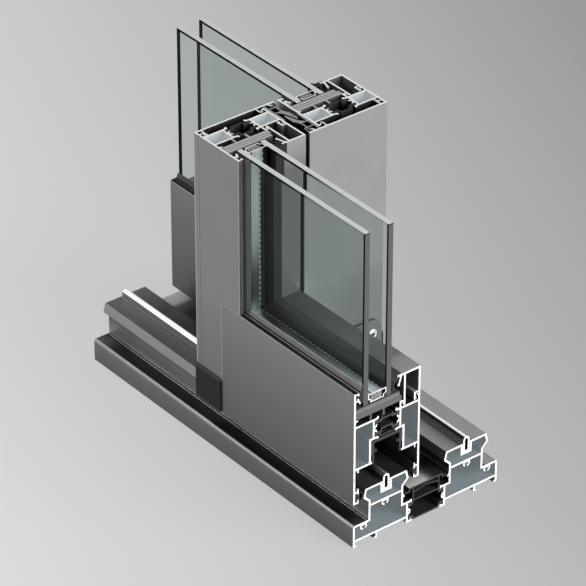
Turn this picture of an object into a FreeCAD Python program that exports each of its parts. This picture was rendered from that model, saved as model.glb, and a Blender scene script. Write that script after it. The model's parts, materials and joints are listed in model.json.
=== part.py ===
import FreeCAD
import Part
import math
import os

V = FreeCAD.Vector
os.makedirs("parts", exist_ok=True)

# Corner sample of a two-track sliding patio door, all lengths in millimetres.
# X runs along the tracks, Y from the outside to the room, Z up.
# The origin lies under the middle of the sill, on the plane it rests on.
SAMPLE_LENGTH = 300.0
SAMPLE_HEIGHT = 250.0
SASH_DEPTH = 58.0
SASH_GAP = 14.0
SILL_DEPTH = 2 * SASH_DEPTH + SASH_GAP
WALL = 1.5
HAIRLINE = 0.2
FIT = 0.15

# Sill section, drawn as u from the outer nose and z from the floor.
BASE_TOP = 5.6
SHELF_TOP = 17.7
UPRIGHT_TOP = 33.0
BULGE_Z = 37.6
HEAD_TOP = 44.7
NOSE_ROUND = 2.0
TRACK_U = SASH_DEPTH / 2
UPRIGHT_HALF = TRACK_U - 13.7
BULGE_HALF = TRACK_U - 9.0
HEAD_HALF = TRACK_U - 10.7
SLOT_HALF = 4.9
SLOT_WALL = 1.6
SLOT_FLOOR = 37.1
TRACK_HALF = 2.8
TRACK_TOP = 49.7
REAR_WALL_U = SASH_DEPTH - 9.1
JAW_TIP_U = SASH_DEPTH - 5.7

# Sash sections are drawn as d, the distance from the edge that faces the glass,
# and u, the distance from the outer face of the sash.
RAIL_HEIGHT = 90.9
SKIRT_BOTTOM = BULGE_Z - 2.0
RAIL_TOP = SKIRT_BOTTOM + RAIL_HEIGHT
STILE_WIDTH = 50.0
STILE_JOINT = 21.5
CAP_TOP = 60.3

# Glazing: two panes whose cavity fills what gaskets and bead leave of the sash.
PANE = 4.0
PANE_FACE = 8.0
BEAD_WIDTH = 20.3
INNER_GASKET = 5.7
CAVITY = SASH_DEPTH - PANE_FACE - 2 * PANE - INNER_GASKET - BEAD_WIDTH
PANE2_FACE = PANE_FACE + PANE + CAVITY
PANE2_BACK = PANE2_FACE + PANE
GLASS_INSET = 12.5
SPACER_SIGHT = 4.9

HALF_LENGTH = SAMPLE_LENGTH / 2
HALF_DEPTH = SILL_DEPTH / 2
HALF_STILE = STILE_WIDTH / 2
MID_PLANE = SASH_DEPTH + SASH_GAP / 2
COVER_REACH = MID_PLANE + 3.5


# Flat sections
def poly(*points):
    return [list(points)]


def bar(a0, b0, a1, b1):
    return [[(a0, b0), (a1, b0), (a1, b1), (a0, b1)]]


def strip(points, thickness, side=0.0):
    """Band along a line of points: side 0 centres it, 1 lays it left, -1 right."""
    left, right = [], []
    for i, (a, b) in enumerate(points):
        normals = []
        for j in (i - 1, i):
            if 0 <= j < len(points) - 1:
                da = points[j + 1][0] - points[j][0]
                db = points[j + 1][1] - points[j][1]
                size = math.hypot(da, db)
                normals.append((-db / size, da / size))
        na = sum(n[0] for n in normals)
        nb = sum(n[1] for n in normals)
        size = math.hypot(na, nb)
        na, nb = na / size, nb / size
        stretch = 1.0 / (na * normals[0][0] + nb * normals[0][1])
        reach_left = thickness * (1 + side) / 2 * stretch
        reach_right = thickness * (1 - side) / 2 * stretch
        left.append((a + na * reach_left, b + nb * reach_left))
        right.append((a - na * reach_right, b - nb * reach_right))
    return [left + right[::-1]]


def flip_u(section, middle=SASH_DEPTH / 2):
    """The section mirrored about the middle plane of the sash."""
    return [[(d, 2 * middle - u) for d, u in outline] for outline in section]


def flip_d(section, middle):
    return [[(2 * middle - d, u) for d, u in outline] for outline in section]


def arc_band(centre, radius, thickness, start, end, steps=16):
    """Part of a ring between two angles in degrees."""
    outer, inner = [], []
    for i in range(steps + 1):
        angle = math.radians(start + (end - start) * i / steps)
        c, s = math.cos(angle), math.sin(angle)
        outer.append((centre[0] + radius * c, centre[1] + radius * s))
        inner.append((centre[0] + (radius - thickness) * c,
                      centre[1] + (radius - thickness) * s))
    return [outer + inner[::-1]]


# Sections become solids through a placing rule and a direction
def face_of(outline, place):
    points = [place(a, b) for a, b in outline]
    wire = Part.makePolygon(points + [points[0]])
    return Part.Face(wire)


def extrude(section, place, direction):
    faces = [face_of(outline, place) for outline in section]
    solids = [face.extrude(direction) for face in faces]
    shape = solids[0]
    if len(solids) > 1:
        shape = shape.multiFuse(solids[1:]).removeSplitter()
    return shape.Solids[0] if len(shape.Solids) == 1 else shape


def round_edges(shape, corners, direction):
    """Rounds the long edges that pass through the given points."""
    for point, radius in corners:
        picked = []
        for edge in shape.Edges:
            if edge.Length < 10 or not isinstance(edge.Curve, Part.Line):
                continue
            ends = [v.Point for v in edge.Vertexes]
            along = (ends[1] - ends[0]).normalize()
            if abs(along.dot(direction)) < 0.999:
                continue
            offset = point - ends[0]
            if (offset - along * offset.dot(along)).Length < 0.02:
                picked.append(edge)
        if picked:
            shape = shape.makeFillet(radius, picked)
    return shape


def keep_side(shape, normal, point):
    """The part of the shape on the side of a plane that the normal points to."""
    reach = 2 * SAMPLE_LENGTH
    plane = Part.makePlane(2 * reach, 2 * reach, point, normal)
    centre = plane.BoundBox.Center
    plane.translate(point - centre)
    block = plane.extrude(V(normal) * reach)
    return shape.common(block)


def export(name, shapes):
    shape = shapes[0] if len(shapes) == 1 else Part.makeCompound(shapes)
    shape.exportStep("parts/%s.step" % name)
    box = shape.BoundBox
    print(name, len(shape.Solids), shape.isValid(), "%.1f cm3" % (shape.Volume / 1000),
          [round(v, 1) for v in (box.XMin, box.XMax, box.YMin, box.YMax, box.ZMin, box.ZMax)])


# Sill extrusion: one half carries one track
PORT_RADIUS = 3.1
PORT_WALL = 1.2


def screw_port(u, underside):
    """Ring under a wall that takes a self-tapping screw, split at its foot."""
    centre = (u, underside - 1.7)
    return arc_band(centre, PORT_RADIUS, PORT_WALL, 150, 258, 6) \
        + arc_band(centre, PORT_RADIUS, PORT_WALL, 30, -54, 5) \
        + poly((u - 3.0, underside), (u - 2.6, underside - PORT_WALL),
               (u + 2.6, underside - PORT_WALL), (u + 3.0, underside))


def head_side(sign):
    """Flank and upright of the track head on one side of the track."""
    def at(half, z):
        return (TRACK_U + sign * half, z)
    path = [at(UPRIGHT_HALF, SHELF_TOP - WALL), at(UPRIGHT_HALF, UPRIGHT_TOP),
            at(BULGE_HALF, BULGE_Z), at(HEAD_HALF, HEAD_TOP),
            at(SLOT_HALF - SLOT_WALL, HEAD_TOP)]
    return strip(path, WALL, sign)


def knurl(d, u, rise, reach=2.6):
    """Toothed lip of the pocket that grips an insulating bar."""
    return poly((d, u), (d - rise, u + reach - 0.4), (d - rise + 0.5, u + reach),
                (d + 0.5, u + reach - 0.7), (d + 1.6, u))


def sill_section():
    section = bar(0, 0, WALL, SHELF_TOP)
    section += poly((WALL - 0.5, 0), (3.4, 0), (3.0, 0.5), (WALL, 1.6), (WALL - 0.5, 1.6))
    section += bar(WALL - 0.5, BASE_TOP - WALL, REAR_WALL_U - 0.5, BASE_TOP)
    section += bar(WALL - 0.5, SHELF_TOP - WALL, TRACK_U - UPRIGHT_HALF + WALL, SHELF_TOP)
    section += head_side(-1) + head_side(1)
    section += bar(TRACK_U - SLOT_HALF, SLOT_FLOOR - SLOT_WALL,
                   TRACK_U - SLOT_HALF + SLOT_WALL, HEAD_TOP)
    section += bar(TRACK_U + SLOT_HALF - SLOT_WALL, SLOT_FLOOR - SLOT_WALL,
                   TRACK_U + SLOT_HALF, HEAD_TOP)
    section += bar(TRACK_U - SLOT_HALF, SLOT_FLOOR - SLOT_WALL,
                   TRACK_U + SLOT_HALF, SLOT_FLOOR)
    middle_top = 30.1
    section += bar(TRACK_U - UPRIGHT_HALF + 0.5, middle_top - WALL,
                   TRACK_U + UPRIGHT_HALF - 0.5, middle_top)
    section += screw_port(TRACK_U - 0.7, middle_top - WALL + 0.2)
    section += screw_port(9.3, SHELF_TOP - WALL + 0.2)
    section += poly((18.3, 0), (21.5, 0), (21.5, BASE_TOP - 0.5), (20.1, BASE_TOP - 0.5),
                    (20.1, 1.3), (18.3, 0.4))
    section += bar(REAR_WALL_U - WALL, 0, REAR_WALL_U, SHELF_TOP - 0.5)
    section += bar(TRACK_U + UPRIGHT_HALF - WALL, SHELF_TOP - WALL, JAW_TIP_U - 1.0, SHELF_TOP)
    section += poly((JAW_TIP_U - 2.2, SHELF_TOP), (JAW_TIP_U - 0.8, SHELF_TOP + 0.8),
                    (JAW_TIP_U, SHELF_TOP + 0.4), (JAW_TIP_U, SHELF_TOP - 2.1),
                    (JAW_TIP_U - 0.9, SHELF_TOP - 1.8), (JAW_TIP_U - 2.2, SHELF_TOP - 1.3))
    section += bar(REAR_WALL_U - WALL, 0, JAW_TIP_U - 0.4, 1.3)
    section += poly((JAW_TIP_U - 1.8, 1.0), (JAW_TIP_U - 0.8, 2.1), (JAW_TIP_U, 1.8),
                    (JAW_TIP_U, 0.3), (JAW_TIP_U - 0.6, 0), (JAW_TIP_U - 1.8, 0))
    for rise, root in ((-1, 10.2), (1, 7.5)):
        tooth = knurl(0, REAR_WALL_U - 0.2, 1.9)[0]
        section += [[(u, root - rise * d) for d, u in tooth]]
    section += poly((TRACK_U + UPRIGHT_HALF - 0.3, 26.3), (TRACK_U + UPRIGHT_HALF + 1.6, 23.6),
                    (TRACK_U + UPRIGHT_HALF + 1.4, 23.1), (TRACK_U + UPRIGHT_HALF - 0.3, 23.1))
    return section


def sill_half(side):
    """side -1 is the outer half, 1 the room half."""
    def place(u, z):
        return V(-HALF_LENGTH, side * (HALF_DEPTH - u), z)
    solid = extrude(sill_section(), place, V(SAMPLE_LENGTH, 0, 0))
    corners = [(0, SHELF_TOP, NOSE_ROUND), (TRACK_U - HEAD_HALF, HEAD_TOP, 0.7),
               (TRACK_U + HEAD_HALF, HEAD_TOP, 0.7), (TRACK_U - BULGE_HALF, BULGE_Z, 0.6),
               (TRACK_U + BULGE_HALF, BULGE_Z, 0.6)]
    return round_edges(solid, [(place(u, z), r) for u, z, r in corners], V(1, 0, 0))


# Stainless running rail pressed into the slot of the sill head
def track_section():
    foot_half = SLOT_HALF - SLOT_WALL - FIT
    bottom = SLOT_FLOOR + FIT
    groove_depth = 0.7
    outer = [(-foot_half, bottom), (foot_half, bottom)]
    for z in (38.4, 42.3):
        outer += [(foot_half, z), (foot_half - groove_depth, z + 0.2),
                  (foot_half - groove_depth, z + 0.9), (foot_half, z + 1.1)]
    outer += [(foot_half, HEAD_TOP - 0.1), (TRACK_HALF, HEAD_TOP)]
    crown = TRACK_TOP - TRACK_HALF
    half_outer = list(outer)
    for i in range(1, 7):
        angle = math.radians(15 * i)
        half_outer.append((TRACK_HALF * math.cos(angle), crown + TRACK_HALF * math.sin(angle)))
    left = [(-a, z) for a, z in half_outer[2:-1]][::-1]
    return half_outer, left


def track_rail(side):
    centre = side * (HALF_DEPTH - TRACK_U)
    right, left = track_section()

    def place(a, z):
        return V(-HALF_LENGTH, centre + a, z)
    body = face_of(right + left, place).extrude(V(SAMPLE_LENGTH, 0, 0))
    hollow_half = 1.35
    floor = SLOT_FLOOR + 1.4
    crown = TRACK_TOP - TRACK_HALF
    hollow = [(-hollow_half, floor), (hollow_half, floor)]
    for i in range(7):
        angle = math.radians(30 * i)
        hollow.append((hollow_half * math.cos(angle), crown + hollow_half * math.sin(angle)))
    void = face_of(hollow, place).extrude(V(SAMPLE_LENGTH, 0, 0))
    return body.cut(void).Solids[0]


# Polyamide between the two sill halves, drawn as y from the middle plane
def mirrored_y(section):
    return section + [[(-a, b) for a, b in outline] for outline in section]


def sill_upper_section():
    tip = HALF_DEPTH - JAW_TIP_U
    leg = tip - 0.7
    rib = 0.9
    jaw = HALF_DEPTH - REAR_WALL_U - FIT
    web = bar(-leg, 16.0, leg, 17.0)
    plate = bar(-tip - 2.6, 26.9, tip + 2.6, 28.2)
    arch = strip([(-leg, 23.2), (0, 25.3), (leg, 23.2)], rib)
    side = bar(leg - rib, 14.2, leg, 27.2)
    side += poly((leg - 0.5, 13.2), (leg + 1.0, 13.2), (jaw, 12.4), (jaw, 16.0),
                 (leg + 1.2, 15.2), (leg - 0.5, 15.4))
    side += bar(tip + 1.6, 25.0, tip + 2.6, 27.2)
    side += bar(tip + 1.6, 24.7, HALF_DEPTH - TRACK_U - UPRIGHT_HALF - 1.2, 25.5)
    return web + plate + arch + mirrored_y(side)


def sill_lower_section():
    jaw = HALF_DEPTH - REAR_WALL_U - FIT
    tip = HALF_DEPTH - JAW_TIP_U
    web = bar(-tip + 1.1, 0.3, tip - 1.1, 1.4)
    side = poly((tip - 1.7, 0.3), (tip - 0.5, 2.6), (jaw, 1.6), (jaw, 5.0), (tip - 0.1, 4.6),
                (tip - 1.5, 3.2), (tip - 2.5, 1.4))
    return web + mirrored_y(side)


def sill_insulator(section):
    def place(y, z):
        return V(-HALF_LENGTH, y, z)
    return extrude(section, place, V(SAMPLE_LENGTH, 0, 0))


# Sash sections in d and u
def glazing_lips():
    """Hooks that hold the outer glazing gasket, and the ledge under the packer."""
    section = bar(0.5, WALL - 0.5, 1.6, 4.4)
    section += bar(1.0, 3.5, 2.6, 4.4)
    section += bar(6.1, WALL - 0.5, 7.1, 4.2)
    section += strip([(4.6, 3.2), (9.5, 5.3)], 1.0)
    section += poly((22.0, WALL - 0.5), (22.0, WALL), (22.3, 3.7), (22.7, 3.8), (23.6, WALL),
                    (23.6, WALL - 0.5))
    return section


def jaw_arm(d, outward):
    """Chamber wall whose end hooks over an insulating bar; outward is the hook's side."""
    tip = poly((d, 19.2), (d + outward * 1.2, 20.7), (d + outward * 0.9, 21.6),
               (d - outward * 0.8, 21.6), (d - outward * WALL, 20.2), (d - outward * WALL, 19.2))
    return tip


CHAMBER_D = 27.0
CHAMBER_WALL_U = 16.6
LEDGE_D = 42.2
STILE_LEDGE_D = 41.1


def chamber(ledge_d, teeth):
    """Hollow chamber with the pockets of the two insulating bars."""
    section = bar(CHAMBER_D, WALL - 0.5, CHAMBER_D + WALL, 20.0)
    section += jaw_arm(CHAMBER_D, -1)
    section += bar(CHAMBER_D + 0.5, CHAMBER_WALL_U, ledge_d + 0.5, CHAMBER_WALL_U + 1.4)
    middle = (CHAMBER_D + WALL + ledge_d) / 2
    upper = knurl(middle - 0.7 - 0.9, CHAMBER_WALL_U + 1.2, teeth - 1.4)
    section += upper + flip_d(upper, middle)
    return section


def rail_shell_outer():
    section = bar(0, 0, RAIL_HEIGHT, WALL)
    section += glazing_lips() + chamber(LEDGE_D, 3.2)
    section += rail_shell_foot()
    return section


def rail_shell_foot():
    """Lower chamber, drip, and the groove of the sill gasket."""
    ledge_u = 13.5
    section = bar(LEDGE_D, ledge_u, LEDGE_D + WALL, 20.0)
    section += poly((LEDGE_D + WALL, 19.4), (LEDGE_D + WALL + 0.6, 20.9),
                    (LEDGE_D + WALL + 0.4, 21.6), (LEDGE_D + 0.3, 21.6), (LEDGE_D, 20.2),
                    (LEDGE_D, 19.4))
    section += bar(LEDGE_D, ledge_u, 63.0, ledge_u + 1.6)
    section += bar(61.5, WALL - 0.5, 63.0, 16.2)
    section += bar(62.5, 3.5, 65.5, 4.5)
    foot = RAIL_HEIGHT
    section += bar(foot - 10.3, WALL - 0.5, foot - 8.9, 4.6) + bar(foot - 12.2, 3.6, foot - 7.6, 4.6)
    section += bar(foot - 1.4, 0, foot, 4.6) + bar(foot - 3.0, 3.6, foot, 4.6)
    return section


def bead_seat():
    """Upstand and lip of the room-side shell that the glazing bead clips to."""
    top = 21.8
    section = bar(top, CHAMBER_WALL_U, CHAMBER_D + 0.5, CHAMBER_WALL_U + 1.4)
    section += bar(top, 14.8, top + 1.3, CHAMBER_WALL_U + 1.4)
    section += bar(top + 0.2, 1.0, top + 1.2, 2.8)
    return flip_u(section)


def rail_shell_inner():
    section = bar(21.6, SASH_DEPTH - WALL, RAIL_HEIGHT, SASH_DEPTH)
    section += flip_u(chamber(LEDGE_D, 3.2) + rail_shell_foot())
    return section + bead_seat()


def stile_chamber():
    section = chamber(STILE_LEDGE_D - WALL, 2.5)
    section += bar(STILE_LEDGE_D - WALL, WALL - 0.5, STILE_LEDGE_D, 20.0)
    section += jaw_arm(STILE_LEDGE_D, 1)
    return section


SKIN_END = 44.5
SKIN_END_HOOKED = 46.5


def cover_arm():
    """End of the skin next to the closed box of the side cover."""
    return bar(STILE_LEDGE_D - 0.5, 4.6, SKIN_END - 0.3, 5.8) + bar(43.2, 3.4, 44.2, 5.0)


def cover_tip():
    """End of the skin that the side cover snaps over."""
    return strip([(SKIN_END_HOOKED - 0.3, 0.9), (44.6, 3.6)], 1.0)


def stile_shell(room_side, hooked):
    if room_side:
        section = flip_u(stile_chamber()) + bead_seat()
        end = SKIN_END_HOOKED if hooked else SKIN_END
        section += bar(21.6, SASH_DEPTH - WALL, end, SASH_DEPTH)
        section += flip_u(cover_tip() if hooked else cover_arm())
    else:
        section = stile_chamber() + glazing_lips()
        end = SKIN_END_HOOKED if hooked else SKIN_END
        section += bar(0, 0, end, WALL)
        section += cover_tip() if hooked else cover_arm()
    return section


def bead_section():
    """Box-shaped bead, drawn from the room face and then mirrored into place."""
    section = bar(0, 0, WALL, BEAD_WIDTH) + bar(0, 0, 21.4, WALL)
    section += bar(1.0, 13.1, 26.4, 14.5)
    section += poly((23.6, 14.2), (23.8, 15.5), (24.4, 15.5), (26.4, 14.2))
    section += strip([(1.2, 17.0), (8.6, 19.2)], 1.3) + strip([(7.6, 18.9), (8.9, 19.3)], 1.8)
    section += bar(19.7, 1.0, 21.0, 5.3) + bar(19.7, 3.9, 26.0, 5.3)
    section += poly((24.0, 4.1), (24.5, 3.1), (25.6, 3.4), (26.0, 4.1))
    return flip_u(section)


def outer_gasket_section():
    return poly((0.35, 1.6), (-0.2, 1.6), (-0.2, 2.5), (0.1, 2.6), (-0.2, 2.9), (-0.2, 3.9),
                (0.1, 4.0), (-0.2, 4.3), (-0.2, 5.4), (-3.3, 6.6), (-3.3, PANE_FACE - FIT),
                (9.2, PANE_FACE - FIT), (9.2, 6.3), (4.2, 4.2), (3.7, 2.6), (2.95, 2.6),
                (2.8, 4.75), (0.35, 4.75))


def inner_gasket_section():
    """Wedge against the glass, with a cover strip over the corner of the bead."""
    face = PANE2_BACK + FIT
    bead = SASH_DEPTH - BEAD_WIDTH
    section = poly((-3.0, face), (-3.0, face + 1.0), (-1.1, face + 2.4), (-0.9, bead + 3.2),
                   (-FIT, bead + 3.2), (-FIT, bead - 0.8), (1.0, face + 3.9), (1.7, face + 5.2),
                   (1.9, face + 6.7), (3.2, face + 6.5), (4.6, face + 4.7), (4.9, face + 3.4),
                   (3.4, face + 1.8), (3.2, face))
    return section + strip([(4.1, face + 3.4), (6.0, face + 2.3), (11.6, face + 1.3)], 1.1)


def packer_section():
    """Ribbed bridge under the panes, on two legs."""
    middle = SASH_DEPTH / 2
    section = bar(17.1, 1.7, 21.6, SASH_DEPTH - 16.6) + bar(13.4, 1.7, 17.4, SASH_DEPTH - 18.3)
    section += bar(21.4, middle - 15.0, 26.8, middle - 13.7)
    return section + bar(21.4, middle - 3.8, 26.8, middle - 2.3)


def spacer_outline(inset):
    left = PANE_FACE + PANE + FIT + inset
    right = PANE2_FACE - FIT - inset
    top = SPACER_SIGHT + inset
    return [(top, left), (9.2 - inset / 2, left), (9.8 - inset / 2, left + 2.0),
            (11.9 - inset, left + 2.0), (11.9 - inset, right - 2.0),
            (9.8 - inset / 2, right - 2.0), (9.2 - inset / 2, right), (top, right)]


def sealant_section():
    left = PANE_FACE + PANE + FIT
    right = PANE2_FACE - FIT
    return poly((9.5, left), (10.0, left + 1.85), (12.05, left + 1.85),
                (12.05, right - 1.85), (10.0, right - 1.85), (9.5, right), (12.5, right),
                (12.5, left))


def rail_bar_sections():
    """Two insulating bars of the bottom rail, between the two half shells."""
    half = poly((28.75, 18.2), (29.3, 20.4), (29.3, 25.0), (31.3, 25.0), (31.3, 20.9),
                (31.6, 20.3), (32.6, 18.2))
    half += bar(27.6, 24.0, 31.3, 25.0)
    upper = half + flip_u(half) + bar(28.8, 24.5, 30.1, SASH_DEPTH - 24.5)
    half = poly((39.1, 18.2), (38.8, 20.9), (38.5, 24.8), (40.4, 24.8), (41.0, 20.4),
                (41.9, 18.2))
    half += bar(36.6, 23.8, 40.4, 24.8) + bar(39.5, 22.4, 43.3, 23.3)
    lower = half + flip_u(half) + bar(36.6, 24.3, 37.9, SASH_DEPTH - 24.3)
    lower += bar(42.4, 22.4, 43.3, SASH_DEPTH - 22.4)
    return upper, lower


def stile_bar_sections():
    half = poly((28.75, 18.2), (29.5, 20.6), (29.5, 24.6), (31.2, 24.6), (31.3, 20.2),
                (31.7, 18.2))
    half += bar(27.0, 23.6, 31.2, 24.6)
    near = half + flip_u(half) + bar(27.0, 23.6, 28.0, SASH_DEPTH - 23.6)
    middle = (CHAMBER_D + STILE_LEDGE_D) / 2
    return near, flip_d(near, middle)


def liner_section():
    """Plastic channel in the roller recess, clipped between the lower chambers."""
    half = bar(45.0, 15.3, 55.5, 17.9) + bar(55.0, 16.5, 62.9, 17.9) + bar(52.3, 17.5, 54.3, 20.2)
    return bar(44.6, 15.3, 46.9, SASH_DEPTH - 15.3) + half + flip_u(half)


def sill_gasket_section():
    """Root in the groove of the skirt and a soft bulb against the track head."""
    foot = RAIL_HEIGHT
    middle = foot - 5.3
    section = poly((foot - 8.3, 1.7), (foot - 8.3, 3.4), (foot - 7.3, 3.4), (foot - 7.3, 5.2),
                   (foot - 3.3, 5.2), (foot - 3.3, 3.4), (foot - 2.0, 3.4), (foot - 2.0, 1.7))
    outer, inner = [], []
    for i in range(11):
        angle = math.radians(-90 + 18 * i)
        outer.append((middle + 4.2 * math.sin(angle), 4.9 + 3.7 * math.cos(angle)))
        inner.append((middle + 3.5 * math.sin(angle), 4.9 + 3.0 * math.cos(angle)))
    return section + bar(middle - 4.0, 4.8, middle + 4.0, 5.5) + [outer + inner[::-1]]


# Side cover and interlock hook of the meeting stile
def cover_section():
    outer = STILE_WIDTH
    room = SASH_DEPTH
    section = bar(outer - WALL, 0, outer, COVER_REACH) + bar(SKIN_END + HAIRLINE, 0, outer, WALL)
    section += bar(SKIN_END + HAIRLINE, 0.5, SKIN_END + 1.2, 5.8)
    section += bar(SKIN_END + HAIRLINE, 4.6, outer - 0.5, 5.8)
    section += bar(43.0, room - 6.0, outer - 0.5, room - 5.0)
    section += bar(43.0, room - 6.0, 43.9, room - 4.0)
    section += poly((outer - WALL + 0.3, MID_PLANE - 3.0), (45.4, MID_PLANE - 1.7),
                    (44.9, MID_PLANE - 1.0), (outer - WALL + 0.3, MID_PLANE - 1.2))
    return section


def hook_section():
    """Base against the sash, hollow box, arm to the cover and the tongue of the interlock."""
    base = SASH_DEPTH + 1.0
    mid = MID_PLANE
    section = strip([(48.2, base), (32.0, base), (24.0, base - 0.3)], 1.3)
    section += bar(34.9, base + 0.2, 36.1, mid + 0.5) + bar(42.0, base + 0.2, 43.1, mid + 0.5)
    section += bar(34.9, mid - 0.6, 43.1, mid + 0.5)
    section += bar(42.5, mid - 0.4, 48.2, mid + 0.6)
    section += strip([(41.5, mid + 0.2), (43.6, mid + 2.5), (48.2, mid + 2.8)], 0.9)
    section += poly((36.5, mid + 0.5), (33.4, mid + 1.9), (30.8, mid + 3.1), (22.2, mid + 3.4),
                    (21.0, mid + 2.9), (20.8, mid + 2.0), (29.8, mid - 0.6), (32.6, mid - 2.0),
                    (34.9, mid - 3.8), (36.0, mid - 3.4), (36.0, mid))
    return section


# Placing a sash: sign +1 is the outer sash, -1 the room sash with X mirrored
class Sash:
    def __init__(self, name, sign, y0):
        self.name = name
        self.sign = sign
        self.y0 = y0

    def rail(self, section, start, end=HALF_LENGTH):
        def place(d, u):
            return V(self.sign * start, self.y0 + u, RAIL_TOP - d)
        return extrude(section, place, V(self.sign * (end - start), 0, 0))

    def stile(self, section, bottom, top=SAMPLE_HEIGHT):
        def place(d, u):
            return V(self.sign * (HALF_STILE - d), self.y0 + u, bottom)
        return extrude(section, place, V(0, 0, top - bottom))

    def point(self, d_from_sightline, u, z):
        return V(self.sign * (HALF_STILE - d_from_sightline), self.y0 + u, z)

    def box(self, d_range, u_range, z_range):
        """A box given by its ranges of d, u and height."""
        a = self.point(d_range[0], u_range[0], z_range[0])
        b = self.point(d_range[1], u_range[1], z_range[1])
        return Part.makeBox(abs(a.x - b.x), b.y - a.y, b.z - a.z, V(min(a.x, b.x), a.y, a.z))

    def mitre(self, shape, for_rail, gap):
        """Cuts a length at 45 degrees where stile and rail meet."""
        corner = V(self.sign * HALF_STILE, 0, RAIL_TOP)
        normal = V(self.sign, 0, -1).normalize()
        if not for_rail:
            normal = V(-normal.x, -normal.y, -normal.z)
        return keep_side(shape, normal, corner + normal * (gap / 2))

    def corner_frame(self, section, gap=0.0):
        """A section run down the stile and along the rail with a mitred corner."""
        reach = 40.0
        down = self.stile(section, RAIL_TOP - reach)
        along = self.rail(section, HALF_STILE - reach)
        down = self.mitre(down, False, gap)
        along = self.mitre(along, True, gap)
        if gap > 0:
            return [down.Solids[0], along.Solids[0]]
        return [down.fuse(along).removeSplitter().Solids[0]]


def largest(shape):
    return max(shape.Solids, key=lambda s: s.Volume)


def stile_shell_solid(sash, room_side):
    """Half shell of the stile, with its glazing leg notched away above the rail."""
    hooked = room_side == (sash.sign > 0)
    solid = sash.stile(stile_shell(room_side, hooked), CAP_TOP)
    top = RAIL_TOP + HAIRLINE
    solid = solid.cut(sash.box((-1, STILE_JOINT - HAIRLINE / 2), (-1, SASH_DEPTH + 1),
                               (CAP_TOP - 1, top)))
    if room_side:
        leg = (SASH_DEPTH - 16.5, SASH_DEPTH - WALL - 0.1)
        solid = solid.cut(sash.box((-1, CHAMBER_D - 0.1), leg, (CAP_TOP - 1, top)))
    return largest(solid)


def rail_shell_solid(sash, room_side):
    """Half shell of the rail; its gasket lips stop short of the stile's packer."""
    section = rail_shell_inner() if room_side else rail_shell_outer()
    start = HALF_STILE - STILE_JOINT + HAIRLINE / 2
    solid = sash.rail(section, start)
    if not room_side:
        solid = solid.cut(sash.box((0, STILE_JOINT + 1), (WALL + 0.1, 6.5),
                                   (RAIL_TOP - 13.4, RAIL_TOP + 1)))
    return largest(solid)


def glass(sash, face):
    x0 = sash.sign * (HALF_STILE - GLASS_INSET)
    x1 = sash.sign * HALF_LENGTH
    z0 = RAIL_TOP - GLASS_INSET
    low = V(min(x0, x1), sash.y0 + face, z0)
    return Part.makeBox(abs(x1 - x0), PANE, SAMPLE_HEIGHT - z0, low)


def spacer(sash):
    outer = sash.corner_frame([spacer_outline(0.0)])[0]
    hollow = sash.corner_frame([spacer_outline(0.7)])[0]
    return outer.cut(hollow).Solids[0]


def interlock_place(sash, section, bottom):
    """Interlock pieces face the other sash, so the room sash mirrors them in depth too."""
    if sash.sign < 0:
        section = flip_u(section)
    return sash.stile(section, bottom)


# Moulded cap that closes the foot of the stile over the track head
CAP_PROUD = 1.2
CAP_BOTTOM = 35.3
CAP_WALL = 1.6
CAP_CLEAR = 1.3
PLATE_TOP = 76.7
PLATE_CORNER = 10.0
PLATE_THICK = 1.5
PLATE_SCREW_IN = 8.7
PLATE_SCREW_DOWN = 11.9


def end_cap_opening(bottom):
    """Opening over the sill head and its running rail."""
    middle = SASH_DEPTH / 2
    flank = middle - BULGE_HALF - CAP_CLEAR
    shoulder = middle - HEAD_HALF - CAP_CLEAR
    slot = middle - TRACK_HALF - CAP_CLEAR - 1
    left = [(flank, bottom), (flank, BULGE_Z + 0.4), (shoulder, HEAD_TOP + CAP_CLEAR),
            (slot, HEAD_TOP + CAP_CLEAR), (slot, TRACK_TOP + CAP_CLEAR)]
    return left + [(2 * middle - u, z) for u, z in left][::-1]


def end_cap_outline():
    """Outline across the track: front skirt, opening, rear skirt and the seat of the stile."""
    seat = CAP_TOP - FIT
    return [(-CAP_PROUD, CAP_BOTTOM)] + end_cap_opening(CAP_BOTTOM) + [
        (SASH_DEPTH, CAP_BOTTOM), (SASH_DEPTH, seat), (-FIT, seat), (-FIT, seat + 2.9),
        (-CAP_PROUD, seat)]


def end_cap_plate(sash, place):
    """Round-cornered plate of the cap over the foot of the side cover, with two screw eyes."""
    low, high = WALL, COVER_REACH - WALL
    points = [(low, CAP_BOTTOM + 0.5), (high, CAP_BOTTOM + 0.5)]
    for centre, start in ((high - PLATE_CORNER, 0), (low + PLATE_CORNER, 90)):
        for i in range(6):
            angle = math.radians(start + 18 * i)
            points.append((centre + PLATE_CORNER * math.cos(angle),
                           PLATE_TOP - PLATE_CORNER + PLATE_CORNER * math.sin(angle)))
    outward = V(-sash.sign, 0, 0)
    plate = face_of(points, place).extrude(outward * PLATE_THICK)
    plate = plate.cut(face_of(end_cap_opening(CAP_BOTTOM - 1), place).extrude(outward * 5))
    for u in (low + PLATE_SCREW_IN, high - PLATE_SCREW_IN):
        eye = place(u, PLATE_TOP - PLATE_SCREW_DOWN) - outward
        plate = plate.cut(Part.makeCylinder(2.2, 2 + PLATE_THICK, eye, outward))
    return plate


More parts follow.
